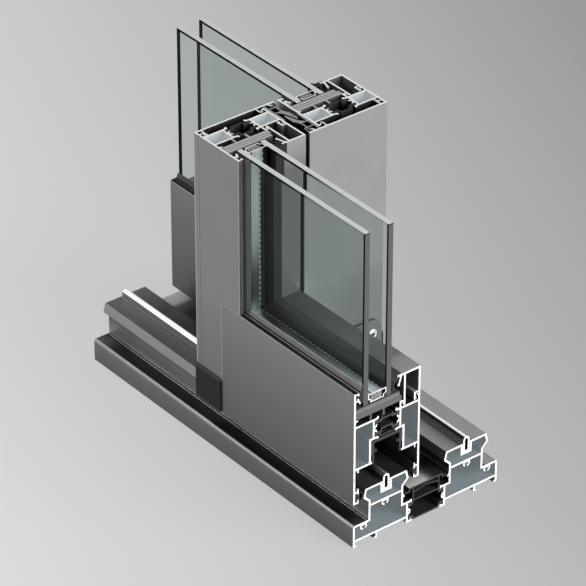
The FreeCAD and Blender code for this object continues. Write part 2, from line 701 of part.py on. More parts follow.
def end_cap(sash):
    front_d = STILE_JOINT + FIT
    back_d = STILE_WIDTH + FIT

    def place(u, z):
        if sash.sign < 0:
            u = SASH_DEPTH - u
        return V(sash.sign * (HALF_STILE - back_d), sash.y0 + u, z)
    inward = V(sash.sign, 0, 0)
    block = face_of(end_cap_outline(), place).extrude(inward * (back_d - front_d))
    flank = SASH_DEPTH / 2 - BULGE_HALF - CAP_CLEAR - CAP_WALL
    hollow = [(0.6, CAP_BOTTOM - 1), (flank, CAP_BOTTOM - 1), (flank, HEAD_TOP), (0.6, HEAD_TOP)]
    for outline in (hollow, [(SASH_DEPTH - u, z) for u, z in hollow]):
        pocket = face_of(outline, place).extrude(inward * (back_d - front_d - CAP_WALL))
        pocket.translate(inward * CAP_WALL)
        block = block.cut(pocket)
    return block.fuse(end_cap_plate(sash, place)).removeSplitter().Solids[0]


# Roller carriage hidden in the recess: housing, axles and two grooved wheels
RECESS_TOP = RAIL_TOP - 47.2
WHEEL_R = 0.37 * (RECESS_TOP - TRACK_TOP)
WHEEL_HALF = 4.2
GROOVE = 1.2


def wheel(x, middle, centre_z):
    profile = [(3.2, -WHEEL_HALF), (WHEEL_R, -WHEEL_HALF), (WHEEL_R - GROOVE, -2.2),
               (WHEEL_R - GROOVE, 2.2), (WHEEL_R, WHEEL_HALF), (3.2, WHEEL_HALF)]
    points = [V(x + r, middle + y, centre_z) for r, y in profile]
    face = Part.Face(Part.makePolygon(points + [points[0]]))
    return face.revolve(V(x, middle, centre_z), V(0, 1, 0), 360)


def roller_carriage(sash):
    length = 70.0
    bottom = TRACK_TOP + 4.8
    half_width = SASH_DEPTH / 2 - 20.4
    slot_half = WHEEL_HALF + 0.8
    roof = 3.0
    middle = sash.y0 + SASH_DEPTH / 2
    near = sash.sign * (HALF_STILE + 3.0)
    x0 = min(near, near + sash.sign * length)
    body = Part.makeBox(length, 2 * half_width, RECESS_TOP - bottom,
                        V(x0, middle - half_width, bottom))
    body = body.cut(Part.makeBox(length - 2 * roof, 2 * slot_half, RECESS_TOP - bottom - roof,
                                 V(x0 + roof, middle - slot_half, bottom)))
    centre_z = TRACK_TOP + 0.3 + WHEEL_R - GROOVE
    wheels = []
    for x in (x0 + 17, x0 + length - 17):
        axle = Part.makeCylinder(2.8, 2 * half_width, V(x, middle - half_width, centre_z),
                                 V(0, 1, 0))
        body = body.fuse(axle)
        wheels.append(wheel(x, middle, centre_z))
    return [body.removeSplitter().Solids[0]] + wheels


# Write every piece
export("sill_front_profile", [sill_half(-1)])
export("sill_rear_profile", [sill_half(1)])
export("sill_track_rails", [track_rail(-1), track_rail(1)])
export("sill_upper_insulator", [sill_insulator(sill_upper_section())])
export("sill_lower_insulator", [sill_insulator(sill_lower_section())])

for sash in (Sash("front", 1, -HALF_DEPTH), Sash("rear", -1, HALF_DEPTH - SASH_DEPTH)):
    along_x = V(1, 0, 0)
    up = V(0, 0, 1)
    for room_side, side_name in ((False, "outer"), (True, "inner")):
        u_face = SASH_DEPTH if room_side else 0.0
        shell = rail_shell_solid(sash, room_side)
        corners = [(V(0, sash.y0 + u_face, RAIL_TOP - RAIL_HEIGHT), 0.5)]
        if not room_side:
            corners.append((V(0, sash.y0, RAIL_TOP), 0.6))
        export("%s_rail_%s_shell" % (sash.name, side_name),
               [round_edges(shell, corners, along_x)])
        shell = stile_shell_solid(sash, room_side)
        if not room_side:
            shell = round_edges(shell, [(sash.point(0, 0, 0), 0.6)], up)
        export("%s_stile_%s_shell" % (sash.name, side_name), [shell])

    rail_start = HALF_STILE - STILE_JOINT + HAIRLINE / 2
    export(sash.name + "_rail_insulators",
           [sash.rail(s, rail_start) for s in rail_bar_sections()])
    export(sash.name + "_stile_insulators",
           [sash.stile(s, CAP_TOP) for s in stile_bar_sections()])
    export(sash.name + "_roller_channel", [sash.rail(liner_section(), rail_start + 1.0)])
    export(sash.name + "_glazing_beads", sash.corner_frame(bead_section(), HAIRLINE))
    export(sash.name + "_outer_gasket", sash.corner_frame(outer_gasket_section()))
    export(sash.name + "_inner_gasket", sash.corner_frame(inner_gasket_section()))
    packer_top = RAIL_TOP - 13.4
    export(sash.name + "_glazing_packers",
           [sash.rail(packer_section(), rail_start + 1.0),
            sash.stile(packer_section(), packer_top + HAIRLINE)])
    export(sash.name + "_glass_panes", [glass(sash, PANE_FACE), glass(sash, PANE2_FACE)])
    export(sash.name + "_spacer_bar", [spacer(sash)])
    export(sash.name + "_edge_sealant", sash.corner_frame(sealant_section()))
    export(sash.name + "_interlock_cover", [interlock_place(sash, cover_section(), CAP_TOP)])
    export(sash.name + "_interlock_hook", [interlock_place(sash, hook_section(), CAP_TOP)])
    export(sash.name + "_end_cap", [end_cap(sash)])
    gasket = sill_gasket_section()
    export(sash.name + "_sill_gaskets",
           [sash.rail(gasket, rail_start), sash.rail(flip_u(gasket), rail_start)])
    export(sash.name + "_roller_carriage", roller_carriage(sash))
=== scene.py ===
import json
import math

import bmesh
import bpy
from mathutils import Matrix, Vector
from mathutils.bvhtree import BVHTree


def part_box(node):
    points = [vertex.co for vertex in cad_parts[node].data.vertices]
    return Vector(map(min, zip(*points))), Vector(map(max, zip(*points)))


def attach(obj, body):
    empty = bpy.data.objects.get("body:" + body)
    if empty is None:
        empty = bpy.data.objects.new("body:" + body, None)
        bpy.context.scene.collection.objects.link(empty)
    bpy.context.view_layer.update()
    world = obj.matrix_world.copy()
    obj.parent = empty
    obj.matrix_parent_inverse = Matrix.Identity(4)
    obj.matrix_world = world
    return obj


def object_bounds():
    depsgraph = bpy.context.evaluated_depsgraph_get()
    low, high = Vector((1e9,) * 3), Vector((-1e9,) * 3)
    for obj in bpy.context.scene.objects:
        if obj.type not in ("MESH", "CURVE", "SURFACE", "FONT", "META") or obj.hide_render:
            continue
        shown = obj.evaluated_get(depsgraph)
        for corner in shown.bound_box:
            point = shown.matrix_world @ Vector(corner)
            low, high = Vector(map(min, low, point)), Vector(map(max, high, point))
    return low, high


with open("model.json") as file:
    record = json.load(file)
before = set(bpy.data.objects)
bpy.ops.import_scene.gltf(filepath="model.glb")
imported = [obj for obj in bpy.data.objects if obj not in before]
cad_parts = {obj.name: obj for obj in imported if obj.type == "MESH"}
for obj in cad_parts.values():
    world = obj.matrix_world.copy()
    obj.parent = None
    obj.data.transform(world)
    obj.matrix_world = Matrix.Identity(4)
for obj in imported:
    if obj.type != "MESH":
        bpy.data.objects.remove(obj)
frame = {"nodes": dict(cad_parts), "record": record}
cad_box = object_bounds()
MM = 0.001


# Sill extrusions. Two mirrored hollow aluminium profiles, thermally separated, form the
# threshold. They are powder coated in a satin dark grey; the saw cut at each end of the sample
# is bare metal with a faint painted glow, and the closed chambers are pale, where no paint has
# reached, and lit by a painted glow. The open cavities are painted near-black as shade.
HALF_LENGTH = cad_box[1].x
CUT_TOP = cad_box[1].z
CUT_MARGIN = 0.1 * MM
SQUARE_ON = 0.9
SIGHT_LINES = 24
SIGHT_REACH = 90 * MM
LOOKS_ALONG = 0.5
WHITE = (1.0, 1.0, 1.0, 1.0)


def new_material(name):
    """A material, its nodes and its shader."""
    material = bpy.data.materials.new(name)
    material.use_nodes = True
    return material, material.node_tree, material.node_tree.nodes["Principled BSDF"]


def set_or_link(tree, socket, value):
    """Sets a socket to a number or a colour, or links the output of another node to it."""
    if isinstance(value, bpy.types.NodeSocket):
        tree.links.new(value, socket)
    else:
        socket.default_value = value


def work_out(tree, operation, *terms):
    """The result of an operation on numbers and on the outputs of other nodes."""
    node = tree.nodes.new("ShaderNodeMath")
    node.operation = operation
    for socket, term in zip(node.inputs, terms):
        set_or_link(tree, socket, term)
    return node.outputs["Value"]


def map_range(tree, source, start, end, low=0.0, high=1.0):
    """Turns start into low and end into high, evenly between them and level beyond them."""
    node = tree.nodes.new("ShaderNodeMapRange")
    for name, value in (("From Min", start), ("From Max", end), ("To Min", low), ("To Max", high)):
        node.inputs[name].default_value = value
    tree.links.new(source, node.inputs["Value"])
    return node.outputs["Result"]


def mix_colours(tree, factor, first, second):
    """The first colour where the factor is 0, and the second where it is 1."""
    node = tree.nodes.new("ShaderNodeMix")
    node.data_type = "RGBA"
    tree.links.new(factor, node.inputs["Factor"])
    set_or_link(tree, node.inputs["A"], first)
    set_or_link(tree, node.inputs["B"], second)
    return node.outputs["Result"]


def even_grey(tone):
    """A grey as a colour."""
    return (tone, tone, tone, 1.0)


def base_colour(shader):
    """The output that the shader's colour comes from so far."""
    return shader.inputs["Base Color"].links[0].from_socket


def place_on_object(tree, either_side=False):
    """The place on the object along each axis, in metres, or with either_side how far it lies
    from the origin."""
    place = tree.nodes.new("ShaderNodeTexCoord").outputs["Object"]
    if either_side:
        distance = tree.nodes.new("ShaderNodeVectorMath")
        distance.operation = "ABSOLUTE"
        tree.links.new(place, distance.inputs[0])
        place = distance.outputs["Vector"]
    split = tree.nodes.new("ShaderNodeSeparateXYZ")
    tree.links.new(place, split.inputs["Vector"])
    return split.outputs


def place_noise(tree, scale, stretch=(1.0, 1.0, 1.0), detail=2.0):
    """Noise fixed to the object, so that it moves with the piece; scale is per metre."""
    coordinates = tree.nodes.new("ShaderNodeTexCoord")
    mapping = tree.nodes.new("ShaderNodeMapping")
    mapping.inputs["Scale"].default_value = stretch
    noise = tree.nodes.new("ShaderNodeTexNoise")
    noise.inputs["Scale"].default_value = scale
    noise.inputs["Detail"].default_value = detail
    tree.links.new(coordinates.outputs["Object"], mapping.inputs["Vector"])
    tree.links.new(mapping.outputs["Vector"], noise.inputs["Vector"])
    return noise.outputs["Fac"]


def spread_value(tree, noise, low, high):
    """Maps the middle of a noise to a range of values."""
    return map_range(tree, noise, 0.3, 0.7, low, high)


def vary_colour(tree, shader, noise, dark, light):
    """Makes the base colour go from dark to light with a noise."""
    mixed = mix_colours(tree, noise, (*dark, 1.0), (*light, 1.0))
    tree.links.new(mixed, shader.inputs["Base Color"])


def raise_grain(tree, shader, noise, depth):
    """Bump of a given depth in metres."""
    bump = tree.nodes.new("ShaderNodeBump")
    bump.inputs["Strength"].default_value = 1.0
    bump.inputs["Distance"].default_value = depth
    tree.links.new(noise, bump.inputs["Height"])
    tree.links.new(bump.outputs["Normal"], shader.inputs["Normal"])


def draw_lines(tree, shader, lines):
    """Lays straight lines over the base colour. Each is an axis, the distance of its middle
    from the origin on either side, its half width and its grey."""
    place = place_on_object(tree, either_side=True)
    colour = base_colour(shader)
    for axis, middle, half_width, tone in lines:
        on_line = work_out(tree, "COMPARE", place[axis], middle, half_width)
        colour = mix_colours(tree, on_line, colour, even_grey(tone))
    tree.links.new(colour, shader.inputs["Base Color"])


def grade(tree, shader, axis, stops):
    """Multiplies the base colour by factors of up to 1 that are given at places, in
    millimetres, along an axis of the object, or |X| for the distance to its middle."""
    first, last = stops[0][0], stops[-1][0]
    place = place_on_object(tree, either_side=axis == "|X|")[axis.strip("|")]
    ramp = tree.nodes.new("ShaderNodeValToRGB")
    tones = ramp.color_ramp.elements
    tones[0].color = even_grey(stops[0][1])
    tones[1].color = even_grey(stops[-1][1])
    for at, factor in stops[1:-1]:
        tones.new((at - first) / (last - first)).color = even_grey(factor)
    graded = tree.nodes.new("ShaderNodeVectorMath")
    graded.operation = "MULTIPLY"
    tree.links.new(map_range(tree, place, first * MM, last * MM), ramp.inputs["Fac"])
    tree.links.new(base_colour(shader), graded.inputs[0])
    tree.links.new(ramp.outputs["Color"], graded.inputs[1])
    tree.links.new(graded.outputs["Vector"], shader.inputs["Base Color"])


DIE_LINES_ACROSS = 900.0
DIE_LINES_ALONG = 2.0
PEEL_SCALE = 1400.0
PEEL_DEPTH = 0.004 * MM


def powder_coat(name, run, lines=(), tone=0.278, grades=(), rough=(0.34, 0.40)):
    """Satin coat with a fine orange peel and faint die lines along the run of the extrusion.
    The tone is its grey; copies in other tones are lit and shaded versions of the one coat,
    and the grades darken it from place to place as painted shade."""
    material, tree, shader = new_material(name)
    shader.inputs["Metallic"].default_value = 0.7
    die_lines = [DIE_LINES_ACROSS] * 3
    die_lines["xyz".index(run)] = DIE_LINES_ALONG
    streaks = place_noise(tree, 1.0, die_lines, 3.0)
    vary_colour(tree, shader, streaks, [0.95 * tone] * 3, [1.05 * tone] * 3)
    for axis, stops in grades:
        grade(tree, shader, axis, stops)
    draw_lines(tree, shader, lines)
    peel = place_noise(tree, PEEL_SCALE)
    raise_grain(tree, shader, peel, PEEL_DEPTH)
    clouds = place_noise(tree, 30.0)
    tree.links.new(spread_value(tree, clouds, *rough), shader.inputs["Roughness"])
    return material


def saw_cut_metal():
    """Freshly cut aluminium, almost white, with the fine arcs that the blade leaves. Its faint
    white glow is painted light.
    """
    material, tree, shader = new_material("saw_cut_metal")
    shader.inputs["Roughness"].default_value = 0.55
    shader.inputs["Emission Color"].default_value = WHITE
    shader.inputs["Emission Strength"].default_value = 0.08
    marks = place_noise(tree, 1.0, (5000.0, 300.0, 5000.0))
    vary_colour(tree, shader, marks, (0.90, 0.90, 0.90), (0.98, 0.98, 0.98))
    return material


def bare_chamber(name, dark, light, glow):
    """Mill-finish metal inside the closed chambers. The glow is painted light: it stands for the
    light that the narrow walls pass on to each other."""
    material, tree, shader = new_material(name)
    shader.inputs["Roughness"].default_value = 0.6
    shader.inputs["Specular IOR Level"].default_value = 0.2
    shader.inputs["Emission Color"].default_value = (*light, 1.0)
    shader.inputs["Emission Strength"].default_value = glow
    streaks = place_noise(tree, 1.0, (2.0, 700.0, 700.0), 3.0)
    vary_colour(tree, shader, streaks, dark, light)
    return material


def painted_cavity_shade():
    """Painted shade: a near-black copy of the coat, laid inside the open cavities, where shade falls."""
    material, tree, shader = new_material("thin_coat_in_cavities")
    shader.inputs["Metallic"].default_value = 0.3
    shader.inputs["Roughness"].default_value = 0.45
    patches = place_noise(tree, 60.0)
    vary_colour(tree, shader, patches, (0.018, 0.018, 0.018), (0.028, 0.028, 0.028))
    return material


def tree_of(names):
    """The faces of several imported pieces, ready for sight lines."""
    places, faces = [], []
    for name in names:
        mesh = frame["nodes"][name].data
        first = len(places)
        places += [v.co.copy() for v in mesh.vertices]
        faces += [[first + i for i in f.vertices] for f in mesh.polygons]
    return BVHTree.FromPolygons(places, faces)


def sees_only(tree, face, run):
    """True where every sight line from the face, across its run, ends on the tree's pieces."""
    along = Vector((run == "x", run == "y", run == "z"))
    if abs(face.normal.dot(along)) > LOOKS_ALONG:
        return False
    side = face.normal.cross(along)
    start = face.center + face.normal * CUT_MARGIN
    for i in range(SIGHT_LINES):
        angle = math.pi * (i + 0.5) / SIGHT_LINES
        sight = side * math.cos(angle) + face.normal * math.sin(angle)
        if tree.ray_cast(start, sight, SIGHT_REACH)[0] is None:
            return False
    return True


FINISH_SLOT, END_SLOT, TOP_SLOT, CHAMBER_SLOT, CAVITY_SLOT, FIRST_ACCENT = range(6)


def dress(name, finish, end_cut=None, top_cut=None, chamber=None, cavity=None, around=None,
          run="x", accents=()):
    """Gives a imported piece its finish, with others for its sawn faces, for the chambers that
    its own walls close, for the cavities that the pieces around it close, and for the faces
    that the test of an accent picks. Of two accents that pick a face, the later one counts."""
    mesh = frame["nodes"][name].data
    mesh.materials.clear()
    end_cut = end_cut or finish
    for material in (finish, end_cut, top_cut or end_cut, chamber or finish, cavity or finish):
        mesh.materials.append(material)
    for picks, material in accents:
        mesh.materials.append(material)
    own = tree_of([name])
    for face in mesh.polygons:
        face.material_index = FINISH_SLOT
        if abs(face.normal.x) > SQUARE_ON and abs(face.center.x) > HALF_LENGTH - CUT_MARGIN:
            face.material_index = END_SLOT
        elif face.normal.z > SQUARE_ON and face.center.z > CUT_TOP - CUT_MARGIN:
            face.material_index = TOP_SLOT
        elif chamber and sees_only(own, face, run):
            face.material_index = CHAMBER_SLOT
        elif cavity and sees_only(around, face, run):
            face.material_index = CAVITY_SLOT
        else:
            for i, (picks, material) in enumerate(accents):
                if picks(face):
                    face.material_index = FIRST_ACCENT + i


SHELF_TOP = 17.7 * MM
HEAD_TOP = 44.7 * MM
HEAD_FLANK = 37.0 * MM
NOSE_FACE = 64.9 * MM
NOSE_ROUND = 2 * MM
TRACK_MIDDLE = 36.0 * MM


def level_at(height):
    """Picks the faces that look up at a height."""
    return lambda face: face.normal.z > SQUARE_ON and abs(face.center.z - height) < CUT_MARGIN


def head_side(middle, near):
    """Picks the top of a track head on one side of its rail."""
    is_top = level_at(HEAD_TOP)
    return lambda face: is_top(face) and (face.center.y < middle) == near


def is_flank(face):
    """Picks the sloping sides of the track heads."""
    return 0.1 < face.normal.z < 0.6 and face.center.z > HEAD_FLANK


def is_inner_flank(face):
    """Picks the sloping sides that face the gutter."""
    return is_flank(face) and abs(face.center.y) < TRACK_MIDDLE


def is_upright(face):
    """Picks the walls that carry the track heads above the shelf."""
    return abs(face.normal.y) > SQUARE_ON and SHELF_TOP < face.center.z < HEAD_FLANK


def is_inner_upright(face):
    """Picks the walls that face each other across the gutter."""
    return is_upright(face) and abs(face.center.y) < TRACK_MIDDLE


def is_nose(face):
    """Picks the outer face of the sill."""
    return abs(face.normal.y) > 0.98 and abs(face.center.y) > NOSE_FACE


def is_nose_round(face):
    """Picks the rounded edge over the outer face."""
    rounded = 0.05 < face.normal.z < 0.98
    return rounded and abs(face.center.y) > NOSE_FACE - NOSE_ROUND and face.center.z < SHELF_TOP


coat_along_x = powder_coat("satin_grey_coat_along_rail", "x")
coat_along_z = powder_coat("satin_grey_coat_along_stile", "z")
cut_metal = saw_cut_metal()
cavity_shade_coat = painted_cavity_shade()
sill_chamber = bare_chamber("sill_chamber_metal", (0.105, 0.122, 0.130), (0.13, 0.150, 0.160), 0.80)

# A painted dark line of shade, with a painted highlight beside it, runs along the foot of each
# upright, and a dark joint along each side of a running rail. The coats of the shelves, heads,
# flanks, uprights and nose are lit and shaded copies of the one coat: the paler ones paint light,
# the darker ones shade, the nose edge coat is a painted highlight, and the grades darken the coat
# as painted shade where the sashes, the track heads and the rails keep the light off it.
foot_shade_and_highlight = [("Y", 53.6 * MM, 0.65 * MM, 0.002), ("Y", 52.7 * MM, 0.18 * MM, 1.0)]
head_lines = [("Y", 41.4 * MM, 0.25 * MM, 0.08), ("Y", 30.6 * MM, 0.25 * MM, 0.08)]
front_shelf_coat = powder_coat("satin_grey_coat_on_front_shelf", "x", foot_shade_and_highlight, 0.30, (
    ("X", ((-150, 1.0), (-142, 0.90), (-137, 0.50), (-131, 0.20), (-100, 0.07), (-40, 0.03),
           (138, 0.02), (143, 0.12), (150, 0.4))),
    ("Y", ((-65, 1.0), (-54, 0.4)))))
rear_shelf_coat = powder_coat("satin_grey_coat_on_rear_shelf", "x", foot_shade_and_highlight, 0.94, (
    ("X", ((-150, 0.28), (112, 0.28), (130, 0.95), (150, 1.0))),))
front_near_coat = powder_coat("satin_grey_coat_on_front_head_outside", "x", head_lines, 0.44, (
    ("X", ((-150, 1.0), (-120, 0.86), (-90, 0.66), (-60, 0.52), (0, 0.30), (150, 0.30))),
    ("Y", ((-55, 0.82), (-40, 1.0)))))
front_far_coat = powder_coat("satin_grey_coat_on_front_head_inside", "x", head_lines, 0.46, (
    ("X", ((-150, 1.0), (-140, 0.85), (-115, 0.38), (-88, 0.17), (150, 0.15))),))
rear_near_coat = powder_coat("satin_grey_coat_on_rear_head_inside", "x", head_lines, 0.72, (
    ("Y", ((17, 1.0), (20.6, 1.0), (24.4, 0.88), (26.9, 0.76), (28.5, 0.62), (30.0, 0.42),
           (30.3, 0.22), (30.9, 0.22), (31.6, 0.45), (33.2, 0.40))),))
rear_far_coat = powder_coat("satin_grey_coat_on_rear_head_outside", "x", head_lines, 0.92)
flank_coat = powder_coat("satin_grey_coat_on_flanks", "x", tone=0.37)
inner_flank_coat = powder_coat("satin_grey_coat_on_inner_flanks", "x", tone=0.20)
upright_coat = powder_coat("satin_grey_coat_on_uprights", "x", (), 0.80, (
    ("Z", ((17.7, 0.85), (20, 0.76), (25, 0.53), (29, 0.42), (33, 0.21))),
    ("X", ((-150, 0.60), (-129, 0.72), (-112, 0.95), (-99, 1.0), (150, 1.0)))))
inner_upright_coat = powder_coat("satin_grey_coat_on_inner_uprights", "x", (), 0.50, (
    ("Z", ((17.7, 1.0), (27, 0.9), (29, 0.25), (33, 0.10))),))
nose_coat = powder_coat("satin_grey_coat_on_nose", "x", (), 0.20, (
    ("Z", ((0, 0.72), (16, 1.0))),))
nose_edge_highlight_coat = powder_coat("satin_grey_coat_highlight_on_nose_edge", "x", tone=0.42)

sill_pieces = tree_of(frame["record"]["behaviour"]["bodies"]["frame"])
for name, middle, shelf_coat, near_coat, far_coat in (
        ("sill_front_profile", -TRACK_MIDDLE, front_shelf_coat, front_near_coat, front_far_coat),
        ("sill_rear_profile", TRACK_MIDDLE, rear_shelf_coat, rear_near_coat, rear_far_coat)):
    dress(name, coat_along_x, cut_metal, chamber=sill_chamber, cavity=cavity_shade_coat,
          around=sill_pieces,
          accents=((level_at(SHELF_TOP), shelf_coat), (head_side(middle, True), near_coat),
                   (head_side(middle, False), far_coat), (is_flank, flank_coat),
                   (is_inner_flank, inner_flank_coat), (is_upright, upright_coat),
                   (is_inner_upright, inner_upright_coat), (is_nose, nose_coat),
                   (is_nose_round, nose_edge_highlight_coat)))


# Running rails. Each is a stainless steel section with a rounded crown, pressed into the slot
# of the sill head. Its shine is painted: a white glow on the crown as a painted highlight,
# painted shade on the flanks, and painted shade along the rail where the sashes stand over it.
RAIL_CROWN = 49.7
BAND_EDGE = 0.05
GROOVE_HALF_WIDTH = 0.28 * MM
# The gleam is a painted highlight: the strength of the white glow on the open crown, and the run over
# which it rises from the middle.
GLEAM = 0.45
GLEAM_RUN = 20 * MM


def polished_steel(name, bands, shade, side, groove):
    """Steel with a painted highlight on the crown above flanks painted darker as shade. The bands
    are pairs of the height, in millimetres, from which each starts and its grey; the last is the
    crown. On the side of the middle where the sash leaves it open the crown glows white, a painted
    highlight, and shade grades it darker along the rail as painted shade. The groove is a dark
    line drawn along the rail beside the crown."""
    material, tree, shader = new_material(name)
    shader.inputs["Metallic"].default_value = 0.55
    shader.inputs["Roughness"].default_value = 0.2
    lines = place_noise(tree, 1.0, (3.0, 2500.0, 2500.0), 3.0)
    vary_colour(tree, shader, lines, (0.90, 0.90, 0.91), (0.99, 0.99, 0.99))
    stops = []
    for height, tone in bands:
        if stops:
            stops.append((height, stops[-1][1]))
        stops.append((height + BAND_EDGE, tone))
    grade(tree, shader, "Z", stops + [(RAIL_CROWN, 1.0)])
    grade(tree, shader, "X", shade)
    draw_lines(tree, shader, [("Y", groove, GROOVE_HALF_WIDTH, 0.05)])
    place = place_on_object(tree)
    above = work_out(tree, "GREATER_THAN", place["Z"], bands[-1][0] * MM)
    outside = map_range(tree, place["X"], 0.0, side * GLEAM_RUN, 0.0, GLEAM)
    gleam = work_out(tree, "MULTIPLY", above, outside)
    shader.inputs["Emission Color"].default_value = WHITE
    tree.links.new(gleam, shader.inputs["Emission Strength"])
    return material


front_steel = polished_steel(
    "front_rail_steel", [(44.0, 0.31), (48.3, 1.0)],
    ((-150, 1.0), (0, 1.0), (20, 0.12), (138, 0.12), (150, 0.6)), -1.0, 37.2 * MM)
rear_steel = polished_steel(
    "rear_rail_steel", [(44.0, 0.42), (47.7, 0.03), (49.4, 1.0)],
    ((-150, 0.6), (-138, 0.12), (-20, 0.12), (0, 1.0), (150, 1.0)), 1.0, 34.8 * MM)
# The hollow of the rails gets the painted cavity shade.
dress("sill_track_rails", rear_steel, cut_metal, chamber=cavity_shade_coat,
      accents=((lambda face: face.center.y < 0, front_steel),))


# Sill insulators. Glass-filled polyamide sections hold the two sill halves together, slid into
# pockets of both. The upper one is also the gutter between the tracks: its top is painted pale
# with light near the sawn ends and black with shade further in.
def polyamide(name, dark, light, roughness, specular=0.4):
    """Matt plastic with the fine fibre grain of an extruded, glass-filled section."""
    material, tree, shader = new_material(name)
    shader.inputs["Roughness"].default_value = roughness
    shader.inputs["Specular IOR Level"].default_value = specular
    fibres = place_noise(tree, 1.0, (60.0, 2200.0, 2200.0), 3.0)
    vary_colour(tree, shader, fibres, dark, light)
    raise_grain(tree, shader, fibres, 0.004 * MM)
    return material


def lit_and_shaded_plate():
    """The top of the gutter, painted pale near the sawn ends as light and black further in as
    shade. To the right of the middle painted shade also darkens it across its width.
    """
    material, tree, shader = new_material("gutter_plate")
    shader.inputs["Roughness"].default_value = 0.35
    rubbed = place_noise(tree, 400.0)
    vary_colour(tree, shader, rubbed, (0.92, 0.92, 0.92), (1.0, 1.0, 1.0))
    grade(tree, shader, "X", ((-150, 1.0), (-139, 1.0), (-134, 0.22), (-122, 0.06), (-105, 0.012),
                              (-90, 0.006), (118, 0.006), (132, 0.10), (150, 0.62)))
    left_half = base_colour(shader)
    grade(tree, shader, "Y", ((-15, 1.0), (0.4, 1.0), (1.1, 0.80), (3.2, 0.42), (5.4, 0.15),
                              (7.5, 0.07), (10, 0.04), (15, 0.035)))
    to_the_right = work_out(tree, "GREATER_THAN", place_on_object(tree)["X"], 0.0)
    both_halves = mix_colours(tree, to_the_right, left_half, base_colour(shader))
    tree.links.new(both_halves, shader.inputs["Base Color"])
    return material


black_polyamide = polyamide("black_polyamide", (0.018, 0.018, 0.018), (0.028, 0.028, 0.028), 0.42)
cut_polyamide = polyamide("cut_polyamide", (0.040, 0.040, 0.041), (0.055, 0.055, 0.056), 0.6)
gutter_plate = lit_and_shaded_plate()
plate_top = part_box("sill_upper_insulator")[1].z
dress("sill_lower_insulator", black_polyamide, cut_polyamide)
dress("sill_upper_insulator", black_polyamide, cut_polyamide,
      accents=((level_at(plate_top), gutter_plate),))


# Sash profiles. Bottom rail and meeting stile are each two aluminium shells, coated like the
# sill and joined square at the corner with a hairline joint. The glazing beads that clip onto
# the inner shells and the side cover of the stile are further sections in the same coat. Its
# copies here are lit and shaded versions of it: the cover, the beads and the ledges are painted
# lighter as light; the rims, the stile edges, the rear rail skin and the hollows of the beads
# darker as painted shade; skins, cover and beads grade darker towards the bottom as painted
# shade, and the light lines along the skin edges are painted highlights.
SASHES = ("front", "rear")
EDGE_HIGHLIGHT = 0.35 * MM
GASKET_RECESS_TOP = 62.0 * MM
rail_low, rail_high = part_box("front_rail_outer_shell")
stile_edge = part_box("front_stile_outer_shell")[1].x
# The rail and stile chambers are copies of the sill's chamber metal in other greys and glows: painted
# shade in the darker rail chambers, painted light in the paler stile chambers.
rail_chamber = bare_chamber("rail_chamber_metal", (0.075, 0.088, 0.095), (0.095, 0.110, 0.118), 1.0)
stile_chamber = bare_chamber("stile_chamber_metal", (0.20, 0.215, 0.225), (0.23, 0.248, 0.258), 1.0)
rail_skin_coats = {}
for sash, tone in (("front", 0.278), ("rear", 0.235)):
    rail_skin_coats[sash] = powder_coat("satin_grey_coat_on_%s_rail_skin" % sash, "x", [
        ("Z", rail_high.z - EDGE_HIGHLIGHT, EDGE_HIGHLIGHT, 0.42),
        ("X", rail_low.x + EDGE_HIGHLIGHT, EDGE_HIGHLIGHT, 0.42)], tone, (
        ("Z", ((rail_low.z / MM, 0.57), (rail_high.z / MM, 1.0))),))
stile_skin_coat = powder_coat("satin_grey_coat_on_stile_skin", "z", [
    ("X", stile_edge - EDGE_HIGHLIGHT, EDGE_HIGHLIGHT, 0.60)], 0.302, (
    ("Z", ((60, 0.78), (100, 0.88), (130, 1.0))),))
shaded_stile_edge_coat = powder_coat("satin_grey_coat_on_stile_edge", "z", tone=0.13)
shaded_rim_coat = powder_coat("satin_grey_coat_on_rail_rim", "x", tone=0.012)
ledge_coat = powder_coat("satin_grey_coat_on_rail_ledge", "x", (), 0.50, (
    ("|X|", ((20, 0.30), (50, 0.30), (75, 0.38), (100, 0.52), (128, 0.50), (134, 0.85),
             (150, 1.0))),), (0.60, 0.68))
lit_cover_coat = powder_coat("satin_grey_coat_on_cover", "z", (), 0.46, (
    ("Z", ((90, 0.80), (116, 0.86), (126, 1.0))),))
bead_coat = powder_coat("satin_grey_coat_on_beads", "x", (), 0.50, (
    ("Z", ((0, 0.52), (226, 0.52), (238, 0.80), (250, 1.0))),))
bead_hollow_shade = powder_coat("satin_grey_coat_shaded_in_beads", "z", tone=0.26)


def looks_out(face):
    """Picks the faces that look to either side of the door."""
    return abs(face.normal.y) > SQUARE_ON


def looks_along_sill(face):
    """Picks the faces that look to either end of the sill."""
    return abs(face.normal.x) > SQUARE_ON


def looks_up(face):
    """Picks the level tops."""
    return face.normal.z > SQUARE_ON


def is_stile_edge(face):
    """Picks the narrow edge of the stile's outer skin, beside the glass."""
    return looks_along_sill(face) and abs(abs(face.center.x) - stile_edge) < CUT_MARGIN


